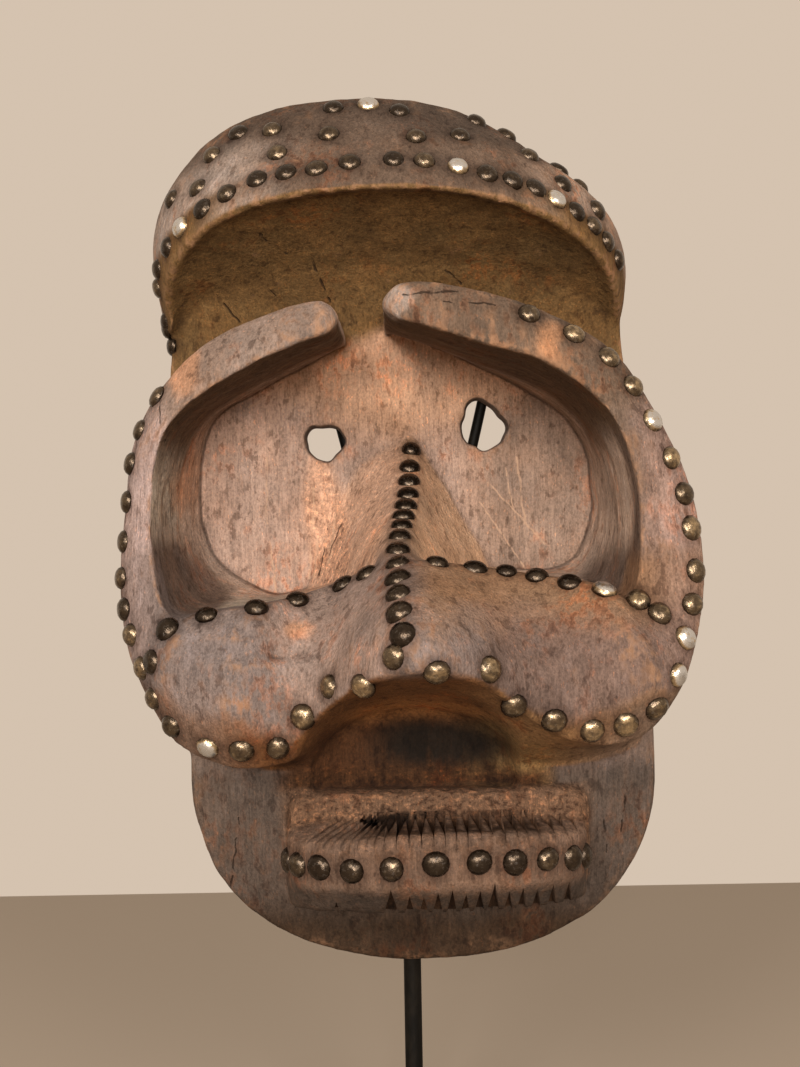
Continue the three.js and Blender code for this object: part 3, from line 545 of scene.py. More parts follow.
# Cuts over the band: place across, how far the root leans over, width at the root, how far the
# point stays behind the band's front
upperCuts = np.array([
    [-37, 12, 2.5, 1.5], [-33.8, 13, 2.6, 0.8], [-30.6, 13.5, 2.6, 0.3], [-27.4, 13, 2.6, 0],
    [-24.2, 12, 2.7, 0], [-21, 11, 2.7, 0], [-17.9, 9.5, 2.7, 0.2], [-14.8, 8, 2.7, 0],
    [-11.7, 6.5, 2.8, 0], [-8, 4, 3.9, 0], [-3.4, 2.5, 4.2, 0.4], [1.3, 1, 4.3, 0], [5.9, 0, 4.3, 0.3],
    [10.4, -0.5, 4.2, 0.6], [14.6, -1, 3.6, 0.2], [18.6, 0, 2.6, -0.4], [22.7, 0.5, 2.8, -0.2],
    [27.8, -1, 3.6, 1.4], [32, -1, 3.2, 2.0], [36.6, -1.5, 3.8, 0.3], [41.2, -1.5, 3.2, 1.0],
    [45.2, -2, 3.6, 0.2], [49.8, -2, 3.4, 0.8], [55.6, -2, 3.6, 0.6], [60.5, -2, 3.0, 1.2],
    [65, -1.5, 2.6, 1.5],
])
# A cut over the band runs between two levels, each given with a share of its width there and how
# far its point goes past the band's front
upperEnds = [(-2, 0.5, -2.4), (13.5, 1.15, 2.6)]
toothCut = {"root": 0.6, "foot": -149.0, "near": 1.5, "far": 9}
# Cuts under the band: place across, width at the edge, height of the point over the edge
lowerCuts = np.array([
    [-26, 6.5, 13], [-5.6, 9.0, 20], [1.2, 6.2, 17], [6.4, 6.4, 16.5], [11.6, 6.8, 18.5],
    [16.8, 6.2, 19.5], [21.8, 6.4, 17.5], [27, 6.6, 19], [32.2, 7.6, 22], [37.8, 6.2, 18],
    [42.8, 6.4, 19], [48.4, 6.8, 18], [54.4, 6.4, 19], [60.6, 6.2, 18.5],
])


# Three-sided wedges between two triangles, each given as its corners' x, forward and up
def wedges(name, triangles):
    corners = np.concatenate([[at(*corner) for corner in triangle] for triangle in triangles])
    corners = corners.transpose(1, 0, 2)
    start = np.arange(len(corners))[:, None] * 6
    ends = np.concatenate([start + [0, 2, 1], start + [3, 4, 5]])
    quads = np.concatenate([start + [0, 1, 4, 3], start + [1, 2, 5, 4], start + [2, 0, 3, 5]])
    piece = objectFrom(name, toFrame(corners.reshape(-1, 3)), ends.tolist() + quads.tolist())
    pointOutwards(piece)
    return piece


# Wedges with their roots on the block's front and their points forward, leaning to one side
def upperCutsPiece():
    x, lean, width, behind = upperCuts.T
    root = mouthBlock["forward"] + toothCut["root"]
    front = bandForward(bandShare(x)) - behind
    triangles = []
    for level, spread, past in upperEnds:
        up = mouthBand["up"] + level
        half = width / 2 * spread
        triangles.append([(x + lean - half, root, up), (x + lean + half, root, up), (x, front + past, up)])
    return wedges("upperCuts", triangles)


# Upright wedges with their roots along the band's foot and their points up
def lowerCutsPiece():
    x, width, height = lowerCuts.T
    foot = toothCut["foot"]
    return wedges("lowerCuts", [[(x - width / 2, reach, foot), (x + width / 2, reach, foot),
                                 (x, reach, foot + height)]
                                for reach in (mouthBlock["forward"] + toothCut["near"],
                                              mouthBand["forward"] + toothCut["far"])])


cove = {"foot": 90, "reach": 19, "ceiling": 10, "halfWidth": 103, "fullness": 0.62}


# The hollowed corner where the plate runs into the cap's underside: a curve from the plate to
# the ceiling, drawn towards their corner by the fullness
def covePiece():
    slope = math.tan(cap["rise"])
    corner = np.array([0, cap["rimHeight"] + cove["ceiling"] / math.cos(cap["rise"])])
    start = np.array([0, cove["foot"]])
    end = corner + [cove["reach"], cove["reach"] * slope]
    part = np.linspace(0, 1, 14)[:, None]
    pulled = mix((start + end) / 2, corner, cove["fullness"])
    curve = start * (1 - part) ** 2 + 2 * pulled * part * (1 - part) + end * part ** 2
    profile = np.concatenate([[[-9, cove["foot"]]], curve, [end + [0, 5], [-9, end[1] + 5]]])
    return loft("cove", [np.insert(profile, 0, x, axis=1)
                         for x in np.linspace(-cove["halfWidth"], cove["halfWidth"], 30)])


wood = {"voxel": 0.0012, "triangles": 190000, "rounding": 6}


# The mesh that a piece's modifiers give
def evaluated(piece):
    graph = bpy.context.evaluated_depsgraph_get()
    return bpy.data.meshes.new_from_object(piece.evaluated_get(graph))


# The carving's parts joined and hollowed, and then laid over with an even net
def roughCarving():
    solid = shellPiece()
    for part in (jawPiece(), cheekPiece(), nosePiece(), capPiece(), covePiece(), mouthBlockPiece()):
        carve(solid, [("UNION", part)])
    carve(solid, [("DIFFERENCE", pocketPiece()), ("UNION", mouthBandPiece()),
                  ("DIFFERENCE", hollowPiece()), ("DIFFERENCE", behindPiece())])
    carve(solid, [("DIFFERENCE", eyeHolePiece(hole)) for hole in eyeHoles])
    even = solid.modifiers.new("even", "REMESH")
    even.mode = "VOXEL"
    even.voxel_size = wood["voxel"]
    return evaluated(solid)


# A mesh's points as [x, forward, up], and the two ends of each edge
def readMesh(mesh):
    points = np.empty(len(mesh.vertices) * 3, np.float32)
    mesh.vertices.foreach_get("co", points)
    edges = np.empty(len(mesh.edges) * 2, np.int32)
    mesh.edges.foreach_get("vertices", edges)
    return toCarving(points.reshape(-1, 3)), edges.reshape(-1, 2)


# Points given as [x, forward, up], put back into their mesh
def writeMesh(mesh, points):
    mesh.vertices.foreach_set("co", toFrame(points).astype(np.float32).ravel())
    mesh.update()


# Normals at the points, as [x, forward, up]
def outwardsAt(mesh):
    normals = np.empty(len(mesh.vertices) * 3, np.float32)
    mesh.vertex_normals.foreach_get("vector", normals)
    normals = normals.reshape(-1, 3).astype(float)
    return normals * [1, -1, 1]


# Mean of each value over the neighbours along the edges
def neighbourMean(values, edges):
    count = np.bincount(edges.ravel(), minlength=len(values))
    columns = values.reshape(len(values), -1)
    total = [np.bincount(edges[:, 0], column[edges[:, 1]], len(values))
             + np.bincount(edges[:, 1], column[edges[:, 0]], len(values)) for column in columns.T]
    return (np.stack(total, -1) / np.maximum(count, 1)[:, None]).reshape(values.shape)


# Each value goes a share of the way to its neighbours' mean, round after round
def relaxed(values, edges, rounds, share=0.5):
    for step in range(rounds):
        values = values + share * (neighbourMean(values, edges) - values)
    return values


# Large odd numbers that stir a lattice's cells, their seed and the result
stirring = {"cells": (73856093, 19349663, 83492791), "seed": 40503, "result": 1274126177}


# A repeatable number from 0 to 1 for each corner of a whole-numbered lattice
def latticeValue(cells, seed):
    stirred = np.bitwise_xor.reduce(cells * stirring["cells"], axis=-1) ^ seed * stirring["seed"]
    stirred = (stirred ^ (stirred >> 13)) * stirring["result"]
    return ((stirred ^ (stirred >> 16)) & 0xFFFFF) / 0xFFFFF


# Smooth noise from -1 to 1: lattice values blended with a soft S along each axis
def unevenness(points, size, seed):
    scaled = points / size
    base = np.floor(scaled).astype(np.int64)
    part = scaled - base
    part = part * part * (3 - 2 * part)
    total = np.zeros(len(points))
    for corner in itertools.product((0, 1), repeat=3):
        weight = np.prod(np.where(np.array(corner), part, 1 - part), axis=-1)
        total += weight * latticeValue(base + np.array(corner), seed)
    return total * 2 - 1


# Several kinds of unevenness together, each given as its height, size and seed
def uneven(points, kinds):
    return sum(height * unevenness(points, np.array(size), seed) for height, size, seed in kinds)


# Shallow scallops of a blade: distance to the nearest of one shifted spot in each lattice cell
def bladeMarks(points, size, seed):
    scaled = points / size
    base = np.floor(scaled).astype(np.int64)
    nearest = np.full(len(points), 9.0)
    for step in itertools.product((-1, 0, 1), repeat=3):
        cell = base + np.array(step)
        spot = cell + np.stack([latticeValue(cell, seed + axis) for axis in range(3)], -1)
        nearest = np.minimum(nearest, ((scaled - spot) ** 2).sum(-1))
    return np.minimum(nearest, 1)


# Gouges and chips: x, forward, up, radius along x, forward and up, and depth
gouges = np.array([
    [-38, 12, 8, 10, 30, 22, 1.3], [-30, 22, 2, 6, 30, 16, 1.0], [-46, 4, -4, 7, 20, 12, 0.9],
    [-42, 108, -42, 15, 20, 7, 1.6], [-55, 108, -36, 8, 20, 5, 1.0], [-33, 112, -36, 6, 20, 4, 1.1],
    [-60, 108, -43, 26, 30, 5, 1.7], [48, 108, -42, 24, 30, 5, 1.1], [20, 30, 22, 7, 20, 5, 0.6],
    [31, 20, 12, 9, 20, 4, 0.6], [62, 98, 88, 7, 20, 6, 0.9],
    [73, 98, 82, 6, 20, 6, 0.9], [-100, 84, 70, 5, 20, 8, 1.0], [-97, 60, 15, 30, 14, 12, 1.2],
    [-96, 50, -8, 30, 12, 9, 1.0], [-16, 2, 83, 9, 12, 7, 1.5], [10, 2, 88, 7, 12, 4, 1.3],
    [25, 2, 85, 8, 12, 3, 1.0], [-24, 2, 80, 5, 12, 6, 1.1], [53, 60, 140, 4, 30, 10, 0.9],
    [60, 0, -4, 6, 12, 9, 0.7], [-72, 0, 10, 2, 12, 30, 0.6], [54, 0, 30, 2, 12, 28, 0.6],
    [-80, 84, -120, 6, 20, 16, 0.9], [90, 84, -118, 4, 20, 18, 0.8], [-60, 86, -140, 9, 20, 6, 0.8],
    [40, 88, -158, 12, 20, 5, 0.7], [-10, 88, -156, 9, 20, 4, 0.6], [30, 96, -104, 8, 10, 5, 1.4],
    [-20, 96, -106, 9, 10, 4, 1.2], [60, 96, -106, 6, 10, 5, 1.3],
])


relief = {"waves": [(0.45, 34, 1), (0.22, 13, 2)], "fibres": [(0.1, (2.6, 2.6, 9.0), 9)],
          "crust": [(0.75, 5.5, 3), (0.5, 2.6, 4)], "gouge": [(0.5, 3.2, 11)],
          "blade": {"depth": 0.42, "middle": 0.2, "size": np.array([9.0, 9.0, 20.0]), "seed": 5},
          "underCap": 1.7, "gougeMiddle": 0.7, "fineRounding": 2, "fineEase": 0.6}


# The rough carving is worn round at its edges, then made uneven: broad waves, blade scallops
# drawn out along the grain, a crust over the mouth block, and the gouges
def weather(mesh):
    points, edges = readMesh(mesh)
    x, forward, up = points.T
    fine = ramp(forward, 93, 99) * within(up, -151, -146, -106, -100) * within(x, -50, -46, 72, 76)
    soft = relaxed(points, edges, wood["rounding"])
    soft = mix(soft, relaxed(points, edges, relief["fineRounding"]), fine[:, None])
    writeMesh(mesh, soft)
    outwards = outwardsAt(mesh)
    crust = ramp(forward, 84, 90) * within(up, -150, -144, -101, -98) * within(x, -52, -47, 73, 78)
    crust = crust * (1 - 0.75 * ramp(forward, 104, 112))
    capUnder = ramp(up, 96, 104) * ramp(outwards[:, 2], -0.35, -0.6)
    blade = relief["blade"]
    scallops = blade["depth"] * bladeMarks(soft, blade["size"], blade["seed"]) - blade["middle"]
    height = uneven(soft, relief["waves"])
    height += scallops * mix(1, relief["underCap"], capUnder) * (1 - crust)
    height += uneven(soft, relief["fibres"])
    height += crust * uneven(soft, relief["crust"])
    ragged = relief["gougeMiddle"] + uneven(soft, relief["gouge"])
    for gouge in gouges:
        apart = (((soft - gouge[:3]) / gouge[3:6]) ** 2).sum(-1)
        inside = np.clip(1 - apart, 0, 1)
        height -= gouge[6] * inside * ragged
    height *= 1 - relief["fineEase"] * fine
    writeMesh(mesh, soft + outwards * height[:, None])


# The teeth are cut into the weathered wood, and the whole is then thinned
def toothed(mesh):
    holder = bpy.data.objects.new("toothed", mesh)
    scene.collection.objects.link(holder)
    carve(holder, [("DIFFERENCE", upperCutsPiece()), ("DIFFERENCE", lowerCutsPiece())])
    fewer = holder.modifiers.new("fewer", "DECIMATE")
    fewer.ratio = wood["triangles"] / (2 * len(mesh.polygons))
    return evaluated(holder)


rough = roughCarving()
print("carving joined,", len(rough.vertices), "points")
weather(rough)
maskMesh = toothed(rough)
maskMesh.name = "mask"
for piece in list(scene.objects):
    if piece.type == "MESH" and piece.name != "floor" and piece.name not in frame["nodes"]:
        bpy.data.objects.remove(piece)
mask = bpy.data.objects.new("mask", maskMesh)
scene.collection.objects.link(mask)
print("carving weathered,", sum(len(face.vertices) - 2 for face in maskMesh.polygons), "triangles")

# Tacks: radius, height of the dome, how far its edge sits under the wood, how far it tilts, and
# the share of the radius at which the wood around it is felt, and of its rise that is followed.
# No two heads are alike: shares of the radius and height, how oval, and how many are dented
tack = {"radius": 5.0, "height": 2.9, "sunk": 0.35, "sides": 14, "tilt": 0.07, "felt": 0.8, "rise": 0.6,
        "radii": (0.94, 1.05), "heights": (0.88, 1.1), "oval": 0.04, "dented": 0.35, "dents": (0.82, 1.0),
        "looks": (0, -0.8, 0.6), "least": 0.1}
# Share of the radius and of the height at each ring of a dome
domeRings = np.array([(1.0, -0.25), (0.97, 0.12), (0.82, 0.55), (0.58, 0.85), (0.3, 0.97)])
rimPitches = [15, 14, 15.5, 16, 14.5, 13, 12, 14.5, 12.5, 12, 12.5, 14.5, 14.5, 15, 17, 17.5, 18.5, 15,
              17, 17.5, 17, 13, 12, 11.5, 13.5, 14, 14.5, 13, 16.5, 13.5, 14.5, 16, 15, 14.5, 16, 19]
# How far the lip's tacks stray from the rim row: to the right, forward and up
lipStrays = [(2.7, 0, -0.4), (0.9, 0, 2.5), (-0.2, 0, 0.9), (-1.9, 0, 3.6), (-1.3, 0, 4.7), (3.8, 0, 0.7),
             (2.5, 0, 2.2), (-2.9, 0, -0.9), (-2.5, 0, -0.5), (-3.1, 0, -2), (-1.6, 0, -1.3), (0, 0, -0.7),
             (0.5, 0, 1.3), (0, 0, 2), (0, 0, 0)]
# Share of the band's half width, and level over the band's middle
mouthPlaces = [(-0.985, 1), (-0.905, 1), (-0.76, 0), (-0.55, -2), (-0.295, -2.3), (-0.02, -1.6),
               (0.255, -1.2), (0.478, -1.3), (0.69, 0), (0.869, 0), (0.97, -1)]
# The path of a row, and the distances from one tack to the next
ridgeRows = {
    "nose": ([(5.4, 4, 36.5), (4, 34, 19), (1, 62, 5), (-1, 96, -7), (-2, 130, -20), (-1, 149, -34)],
             [14, 11.5, 12, 11, 11, 11, 14, 15.5, 12.5, 14, 12.5, 11.5, 11]),
    "crestLeft": ([(-14, 94, -14), (-26, 88, -19), (-41, 93, -24), (-57, 104, -27), (-76, 100, -29),
                   (-88, 100, -36), (-92.5, 100, -47.5)], [12, 18.5, 18.5, 20.5, 16, 12]),
    "crestRight": ([(14, 101, -11), (29, 97, -13), (41, 95, -15), (52, 98, -17), (76, 111, -22),
                    (88, 112, -26), (95, 113, -33)], [15.5, 12.5, 12, 13.5, 14, 13, 9.5]),
}
# Share of the half turn from right to left, and level over the rim plane
capRows = {
    "capLow": [(1.25, 12), (1.1, 12), (0.992, 12), (0.958, 12), (0.915, 12.5), (0.852, 10),
               (0.798, 10), (0.742, 10.5), (0.692, 11.5), (0.642, 13.5), (0.602, 13.5), (0.565, 13),
               (0.53, 15), (0.496, 16), (0.462, 15.5), (0.422, 14), (0.385, 12.5), (0.35, 12.5),
               (0.315, 12.5), (0.281, 11.5), (0.243, 11.5), (0.203, 11), (0.163, 10.5), (0.118, 10.5)],
    "capMiddle": [(0.94, 53), (0.745, 25), (0.71, 41), (0.61, 27.5), (0.545, 35.5), (0.468, 32),
                  (0.408, 36.5), (0.31, 36), (0.268, 24.5), (0.195, 23)],
    "capHigh": [(0.815, 33.5), (0.665, 50), (0.61, 44.5), (0.53, 55), (0.498, 57), (0.462, 52.5),
                (0.34, 57), (0.285, 57), (0.238, 41.5), (0.196, 39.5)],
}


# Places on a spline at the given distances from one to the next
def rowAlong(points, pitches):
    fine = splineAt(points, np.linspace(0, 1, 4000))
    walked = walkedAlong(fine)
    reach = np.minimum(np.concatenate([[0], np.cumsum(pitches)]), walked[-1])
    return at(*tableAt(np.column_stack([walked, fine]), reach))


# The outer edge of the cheeks, a little way in
def rimPath():
    stations = cheekStations[3:26]
    outer, ridge = stations[:, :3], stations[:, 3:6]
    inset = np.where(outer[:, 2] < -40, 9, np.where(outer[:, 0] < 0, 1.5, 5))
    way = (ridge - outer) / np.linalg.norm(ridge - outer, axis=1)[:, None]
    return outer + way * inset[:, None]


# An angle round the cap's ring at the tack's level, or straight back past the ring's end
def capRow(places):
    share, level = np.array(places, float).T
    centre, half, front = tableAt(capLevels, level)
    across, along = capShares(np.pi * np.minimum(1, share))
    return capPoint(centre + half * across, front * (along - np.maximum(0, share - 1)), level)


# Places on the band's front, each at its own level off the middle line
def mouthRow():
    across, level = np.array(mouthPlaces).T
    x = mouthBand["centre"] + across * mouthBand["halfWidth"]
    return at(x, bandForward(across), mouthBand["up"] + bandSag(across) + level)


rimRow = rowAlong(rimPath(), rimPitches)
tackRows = {
    **{name: rowAlong(*row) for name, row in ridgeRows.items()},
    "mouth": mouthRow(),
    "lip": rimRow[11:26] + lipStrays,
    "rimLeft": rimRow[:11],
    "rimRight": rimRow[26:],
    **{name: capRow(places) for name, places in capRows.items()},
}
cadRows = {"nose": "tack_nose_", "crestLeft": "tack_crest_left_", "crestRight": "tack_crest_right_",
           "mouth": "tack_mouth_", "lip": "tack_lip_"}
# How far the heads of a row are rubbed, from and to
rubbing = {"lip": (0.45, 0.72), "nose": (0, 0.2), "crestLeft": (0, 0.22), "crestRight": (0, 0.22),
           "mouth": (0.05, 0.35), "rimLeft": (0.3, 0.6), "rimRight": (0.4, 0.68),
           **dict.fromkeys(capRows, (0.08, 0.5))}
# Tacks rubbed more than their row, where 1 is bright: row and place in it, counted from 0
rubbedTacks = {("crestRight", 6): 0.6, ("crestRight", 7): 0.5,
               **dict.fromkeys([("capHigh", 4), ("capLow", 6), ("capLow", 15), ("capLow", 19), ("lip", 0),
                                ("lip", 14), ("crestRight", 5), ("rimRight", 0), ("rimRight", 6)], 1.0)}


# A dome whose height falls with the square root of what is left of the radius squared, a little
# flattened on top: points round the rings, and one on top
def domePoints(random):
    angle = fullTurn(tack["sides"])
    share, high = domeRings.T[:, :, None]
    radius = tack["radius"] * random.uniform(*tack["radii"])
    height = tack["height"] * random.uniform(*tack["heights"])
    stretch = 1 + random.uniform(-tack["oval"], tack["oval"]) * np.cos(2 * (angle - random.uniform(0, 3)))
    rings = at(radius * share * np.cos(angle) * stretch, radius * share * np.sin(angle) * stretch,
               height * high).reshape(-1, 3)
    dent = random.uniform(*tack["dents"]) if random.random() < tack["dented"] else 1.0
    return np.concatenate([rings, [[0, 0, height * dent]]])


# Quads between a dome's rings, triangles up to its top, and one face below
def domeFaces():
    sides = tack["sides"]
    grid = np.arange(len(domeRings) * sides).reshape(-1, sides)
    after = np.roll(grid, -1, axis=1)
    quads = np.stack([grid[:-1], after[:-1], after[1:], grid[1:]], -1).reshape(-1, 4)
    top = np.stack([grid[-1], after[-1], np.full(sides, grid.size)], -1)
    return quads.tolist() + top.tolist() + [grid[0][::-1].tolist()]


# The wood's faces that look forward or up, so that no tack lands underneath
def tackedWood():
    shape = bmesh.new()
    shape.from_mesh(maskMesh)
    under = [face for face in shape.faces if face.normal.dot(Vector(tack["looks"])) < tack["least"]]
    bmesh.ops.delete(shape, geom=under, context="FACES")
    surface = BVHTree.FromBMesh(shape)
    shape.free()
    return surface


# Where a tack sits: the wood nearest to its place, and the mean slope of the wood around it
def seatOn(surface, place):
    spot, slope = surface.find_nearest(Vector(toFrame(place)))[:2]
    side = slope.orthogonal().normalized()
    other = slope.cross(side)
    reach = tack["radius"] * tack["felt"] / 1000
    around = [surface.find_nearest(spot + reach * (math.cos(turn) * side + math.sin(turn) * other))
              for turn in fullTurn(12)]
    mean = sum((hit[1] for hit in around), slope.copy()).normalized()
    rise = np.mean([(hit[0] - spot).dot(mean) for hit in around])
    return spot + mean * rise * tack["rise"], mean


# One value for each point of a mesh
def addLayer(mesh, name, kind, field, values):
    layer = mesh.attributes.new(name, kind, "POINT")
    layer.data.foreach_set(field, np.asarray(values, np.float32).ravel())


# Each head is turned to the slope of the wood, tilted a little, and sunk at its edge
def addTacks():
    surface = tackedWood()
    faces = domeFaces()
    seats, pieces = [], []
    for order, (row, places) in enumerate(tackRows.items()):
        random = np.random.default_rng(100 + order)
        points, skins, tones = [], [], []
        for count, place in enumerate(places):
            spot, slope = seatOn(surface, place)
            slope = (slope + Vector(random.uniform(-1, 1, 3) * tack["tilt"])).normalized()
            turn = slope.to_track_quat("Z", "Y").to_matrix()
            dome = (domePoints(random) - [0, 0, tack["sunk"]]) / 1000
            points.append(dome @ np.array(turn).T + np.array(spot))
            skins += [[corner + count * len(dome) for corner in face] for face in faces]
            drawn = random.uniform(*rubbing[row])
            rubbed = rubbedTacks.get((row, count), drawn)
            # Each head's metal is lighter towards its top and darker at its edge: partly rubbing, partly a
            # painted highlight
            lift = dome[:, 2] / dome[:, 2].max()
            tones.append(rubbed * np.clip(0.5 + 0.6 * lift, 0, 1))
            seats.append(toCarving(spot))
        piece = objectFrom("tacks_" + row, np.concatenate(points), skins)
        addLayer(piece.data, "tone", "FLOAT", "value", np.concatenate(tones))
        shadeSmooth(piece.data)
        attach(piece, "root")
        nodes = [name for name in sorted(frame["nodes"]) if name.startswith(cadRows.get(row, "-"))]
        if nodes:
            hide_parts(*nodes)
        pieces.append(piece)
    return pieces, np.array(seats)


tackPieces, tackSeats = addTacks()
print(len(tackSeats), "tacks seated")

# The foot plate, the upright, the prong under the chin, and the two arms behind the face plate
base = {"width": 160, "depth": 180, "thickness": 14, "corner": 8, "edge": 1.6}
rod = {"x": 2.4, "forward": -22, "diameter": 8.5, "top": -80, "clear": 0.3, "ends": 3, "lowEdge": 0.4,
       "highEdge": 0.6}
prong = {"diameter": 5, "clearance": 1.4, "chinHeight": -128, "chinForward": 66.5, "plate": 12}
arms = [{"low": -25.5, "high": -40}, {"low": 36, "high": 49}]
armHeights = {"low": 43, "high": 98}
# Share of its radius to which a bar's end is rounded
barEnd = 0.72


# A round tube along a path, on frames carried from one ring to the next, with rounded ends
def tube(name, path, radius, sides=20):
    path = np.asarray(path, float)
    along = np.gradient(path, axis=0)
    along /= np.linalg.norm(along, axis=1)[:, None]
    start = np.cross(along[0], [0.3, 1, 0.2])
    side = [start / np.linalg.norm(start)]
    for way in along[1:]:
        turned = side[-1] - way * (side[-1] @ way)
        side.append(turned / np.linalg.norm(turned))
    side = np.array(side)
    other = np.cross(along, side)
    angle = fullTurn(sides)[None, :, None]
    ends = np.ones(len(path))
    ends[[0, -1]] = barEnd
    ring = radius * ends[:, None, None] * (np.cos(angle) * side[:, None] + np.sin(angle) * other[:, None])
    return loft(name, path[:, None] + ring)


# The upright, two arms and the chin's prong are tubes made one piece. The foot is a rectangle
# with round corners carried up, narrower at both its edges
def addStand():
    bottom = base["thickness"] - carving["height"] + rod["clear"]
    between = np.linspace(bottom + rod["ends"], rod["top"] - rod["ends"], 24)
    heights = [bottom, bottom + rod["lowEdge"], *between, rod["top"] - rod["highEdge"], rod["top"]]
    upright = tube("rodBar", [(rod["x"], rod["forward"], up) for up in heights], rod["diameter"] / 2, 36)
    armForward = -prong["plate"] - prong["diameter"] / 2 - prong["clearance"]
    for count, arm in enumerate(arms):
        low = arm["low"]
        knots = [(rod["x"], rod["forward"], rod["top"] - 4),
                 (mix(rod["x"], low, 0.15), rod["forward"] + 1, rod["top"] + 12),
                 (mix(rod["x"], low, 0.6), armForward, rod["top"] + 72),
                 (low, armForward, armHeights["low"]), (arm["high"], armForward, armHeights["high"])]
        carve(upright, [("UNION", tube("arm%d" % count, splineAt(knots, np.linspace(0, 1, 70)),
                                       prong["diameter"] / 2))])
    knots = [(rod["x"] + 2 * part, mix(rod["forward"], prong["chinForward"], part), prong["chinHeight"])
             for part in np.linspace(0, 1, 24)]
    carve(upright, [("UNION", tube("chin", knots, prong["diameter"] / 2))])
    rodMesh = evaluated(upright)
    rodMesh.name = "stand"
    for name in ("rodBar", "arm0", "arm1", "chin"):
        bpy.data.objects.remove(bpy.data.objects[name])
    stand = bpy.data.objects.new("stand", rodMesh)
    scene.collection.objects.link(stand)
    shadeSmooth(stand.data)
    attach(stand, "root")
    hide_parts("stand_rod")
    angle = fullTurn(96)
    turn = np.stack([np.cos(angle), np.sin(angle)], -1)
    middle = np.sign(turn) * [base["width"] / 2 - base["corner"], base["depth"] / 2 - base["corner"]]
    inner = base["edge"] * 0.3
    edge = [(0, base["edge"]), (inner, inner), (base["edge"], 0)]
    rings = []
    for up, inset in edge + [(base["thickness"] - up, inset) for up, inset in edge[::-1]]:
        flat = middle + turn * (base["corner"] - inset)
        rings.append(at(flat[:, 0], carving["forward"] - flat[:, 1], up - carving["height"]))
    foot = loft("foot", rings)
    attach(foot, "root")
    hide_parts("stand_base")
    return stand, foot


stand, foot = addStand()
print("stand is ready")

# What the wood looks like where it is bare, as linear colours: the middle of each area. Some of them also
# hold painted shade: deep in the cuts between the teeth, in the hole under the muzzle and on the jaw
patina = {
    "aged": (0.105, 0.076, 0.061), "inside": (0.12, 0.08, 0.052),
    "capLeft": (0.19, 0.152, 0.13), "capMiddle": (0.074, 0.051, 0.037), "capRight": (0.178, 0.13, 0.101),
    "capTop": (0.044, 0.031, 0.023), "capUnder": (0.095, 0.055, 0.021),
    "plateBrow": (0.415, 0.265, 0.18), "plateLeft": (0.33, 0.236, 0.19),
    "plateRight": (0.248, 0.177, 0.137), "gouged": (0.5, 0.31, 0.215),
    "wall": (0.35, 0.275, 0.225), "wallDark": (0.33, 0.29, 0.24), "noseLeft": (0.4, 0.262, 0.188),
    "noseRight": (0.4, 0.262, 0.17), "hornLeft": (0.142, 0.107, 0.089), "hornRight": (0.08, 0.055, 0.039),
    "hornTip": (0.2, 0.165, 0.145), "hornInner": (0.062, 0.037, 0.02),
    "sideLeft": (0.24, 0.186, 0.175), "sideRight": (0.21, 0.148, 0.127), "worn": (0.34, 0.17, 0.085),
    "muzzleLeft": (0.112, 0.089, 0.082), "muzzleMiddle": (0.168, 0.124, 0.105),
    "muzzleRight": (0.092, 0.063, 0.052), "muzzleCrest": (0.165, 0.098, 0.058),
    "underLeft": (0.085, 0.037, 0.013), "underRight": (0.14, 0.078, 0.035),
    "throatLeft": (0.047, 0.02, 0.008), "throatRight": (0.165, 0.1, 0.041), "throatTop": (0.18, 0.078, 0.026),
    # Near black deep in the hole under the muzzle: the wood's own dark colour and painted shadow
    "pocket": (0.008, 0.005, 0.003),
    "pocketFoot": (0.045, 0.02, 0.008), "block": (0.112, 0.066, 0.041), "band": (0.098, 0.063, 0.045),
    # The jaw's colours: its own dark wood, partly painted shade under the muzzle, and painted shade darkening
    # towards its foot
    "bandLow": (0.036, 0.026, 0.02), "jaw": (0.056, 0.042, 0.034), "jawLowShade": (0.024, 0.014, 0.008),
    # Painted shade deep in the cuts between the teeth
    "gapShade": (0.016, 0.008, 0.004),
}
wear = {"edge": 0.12, "full": 0.5, "hollow": 0.1, "deep": 0.5, "ring": 8.8, "rounds": 7,
        "wander": [(5, 22, 31), (2.5, 7, 32)], "shade": [(0.19, 16, 51), (0.12, 6, 52)],
        "uneven": [(0.12, 9, 41)], "warmer": [(0.5, 12, 53)], "warm": (1.1, 0.99, 0.9), "brighter": 1.07}


# Sizes of the painted shade in the cuts between the teeth
gapShade = {"leastShare": 0.6, "upperWidth": 0.45, "upperFoot": 0.2, "lowerFoot": 0.3, "soft": 0.1, "deep": 1.4,
       "behind": 1.5}


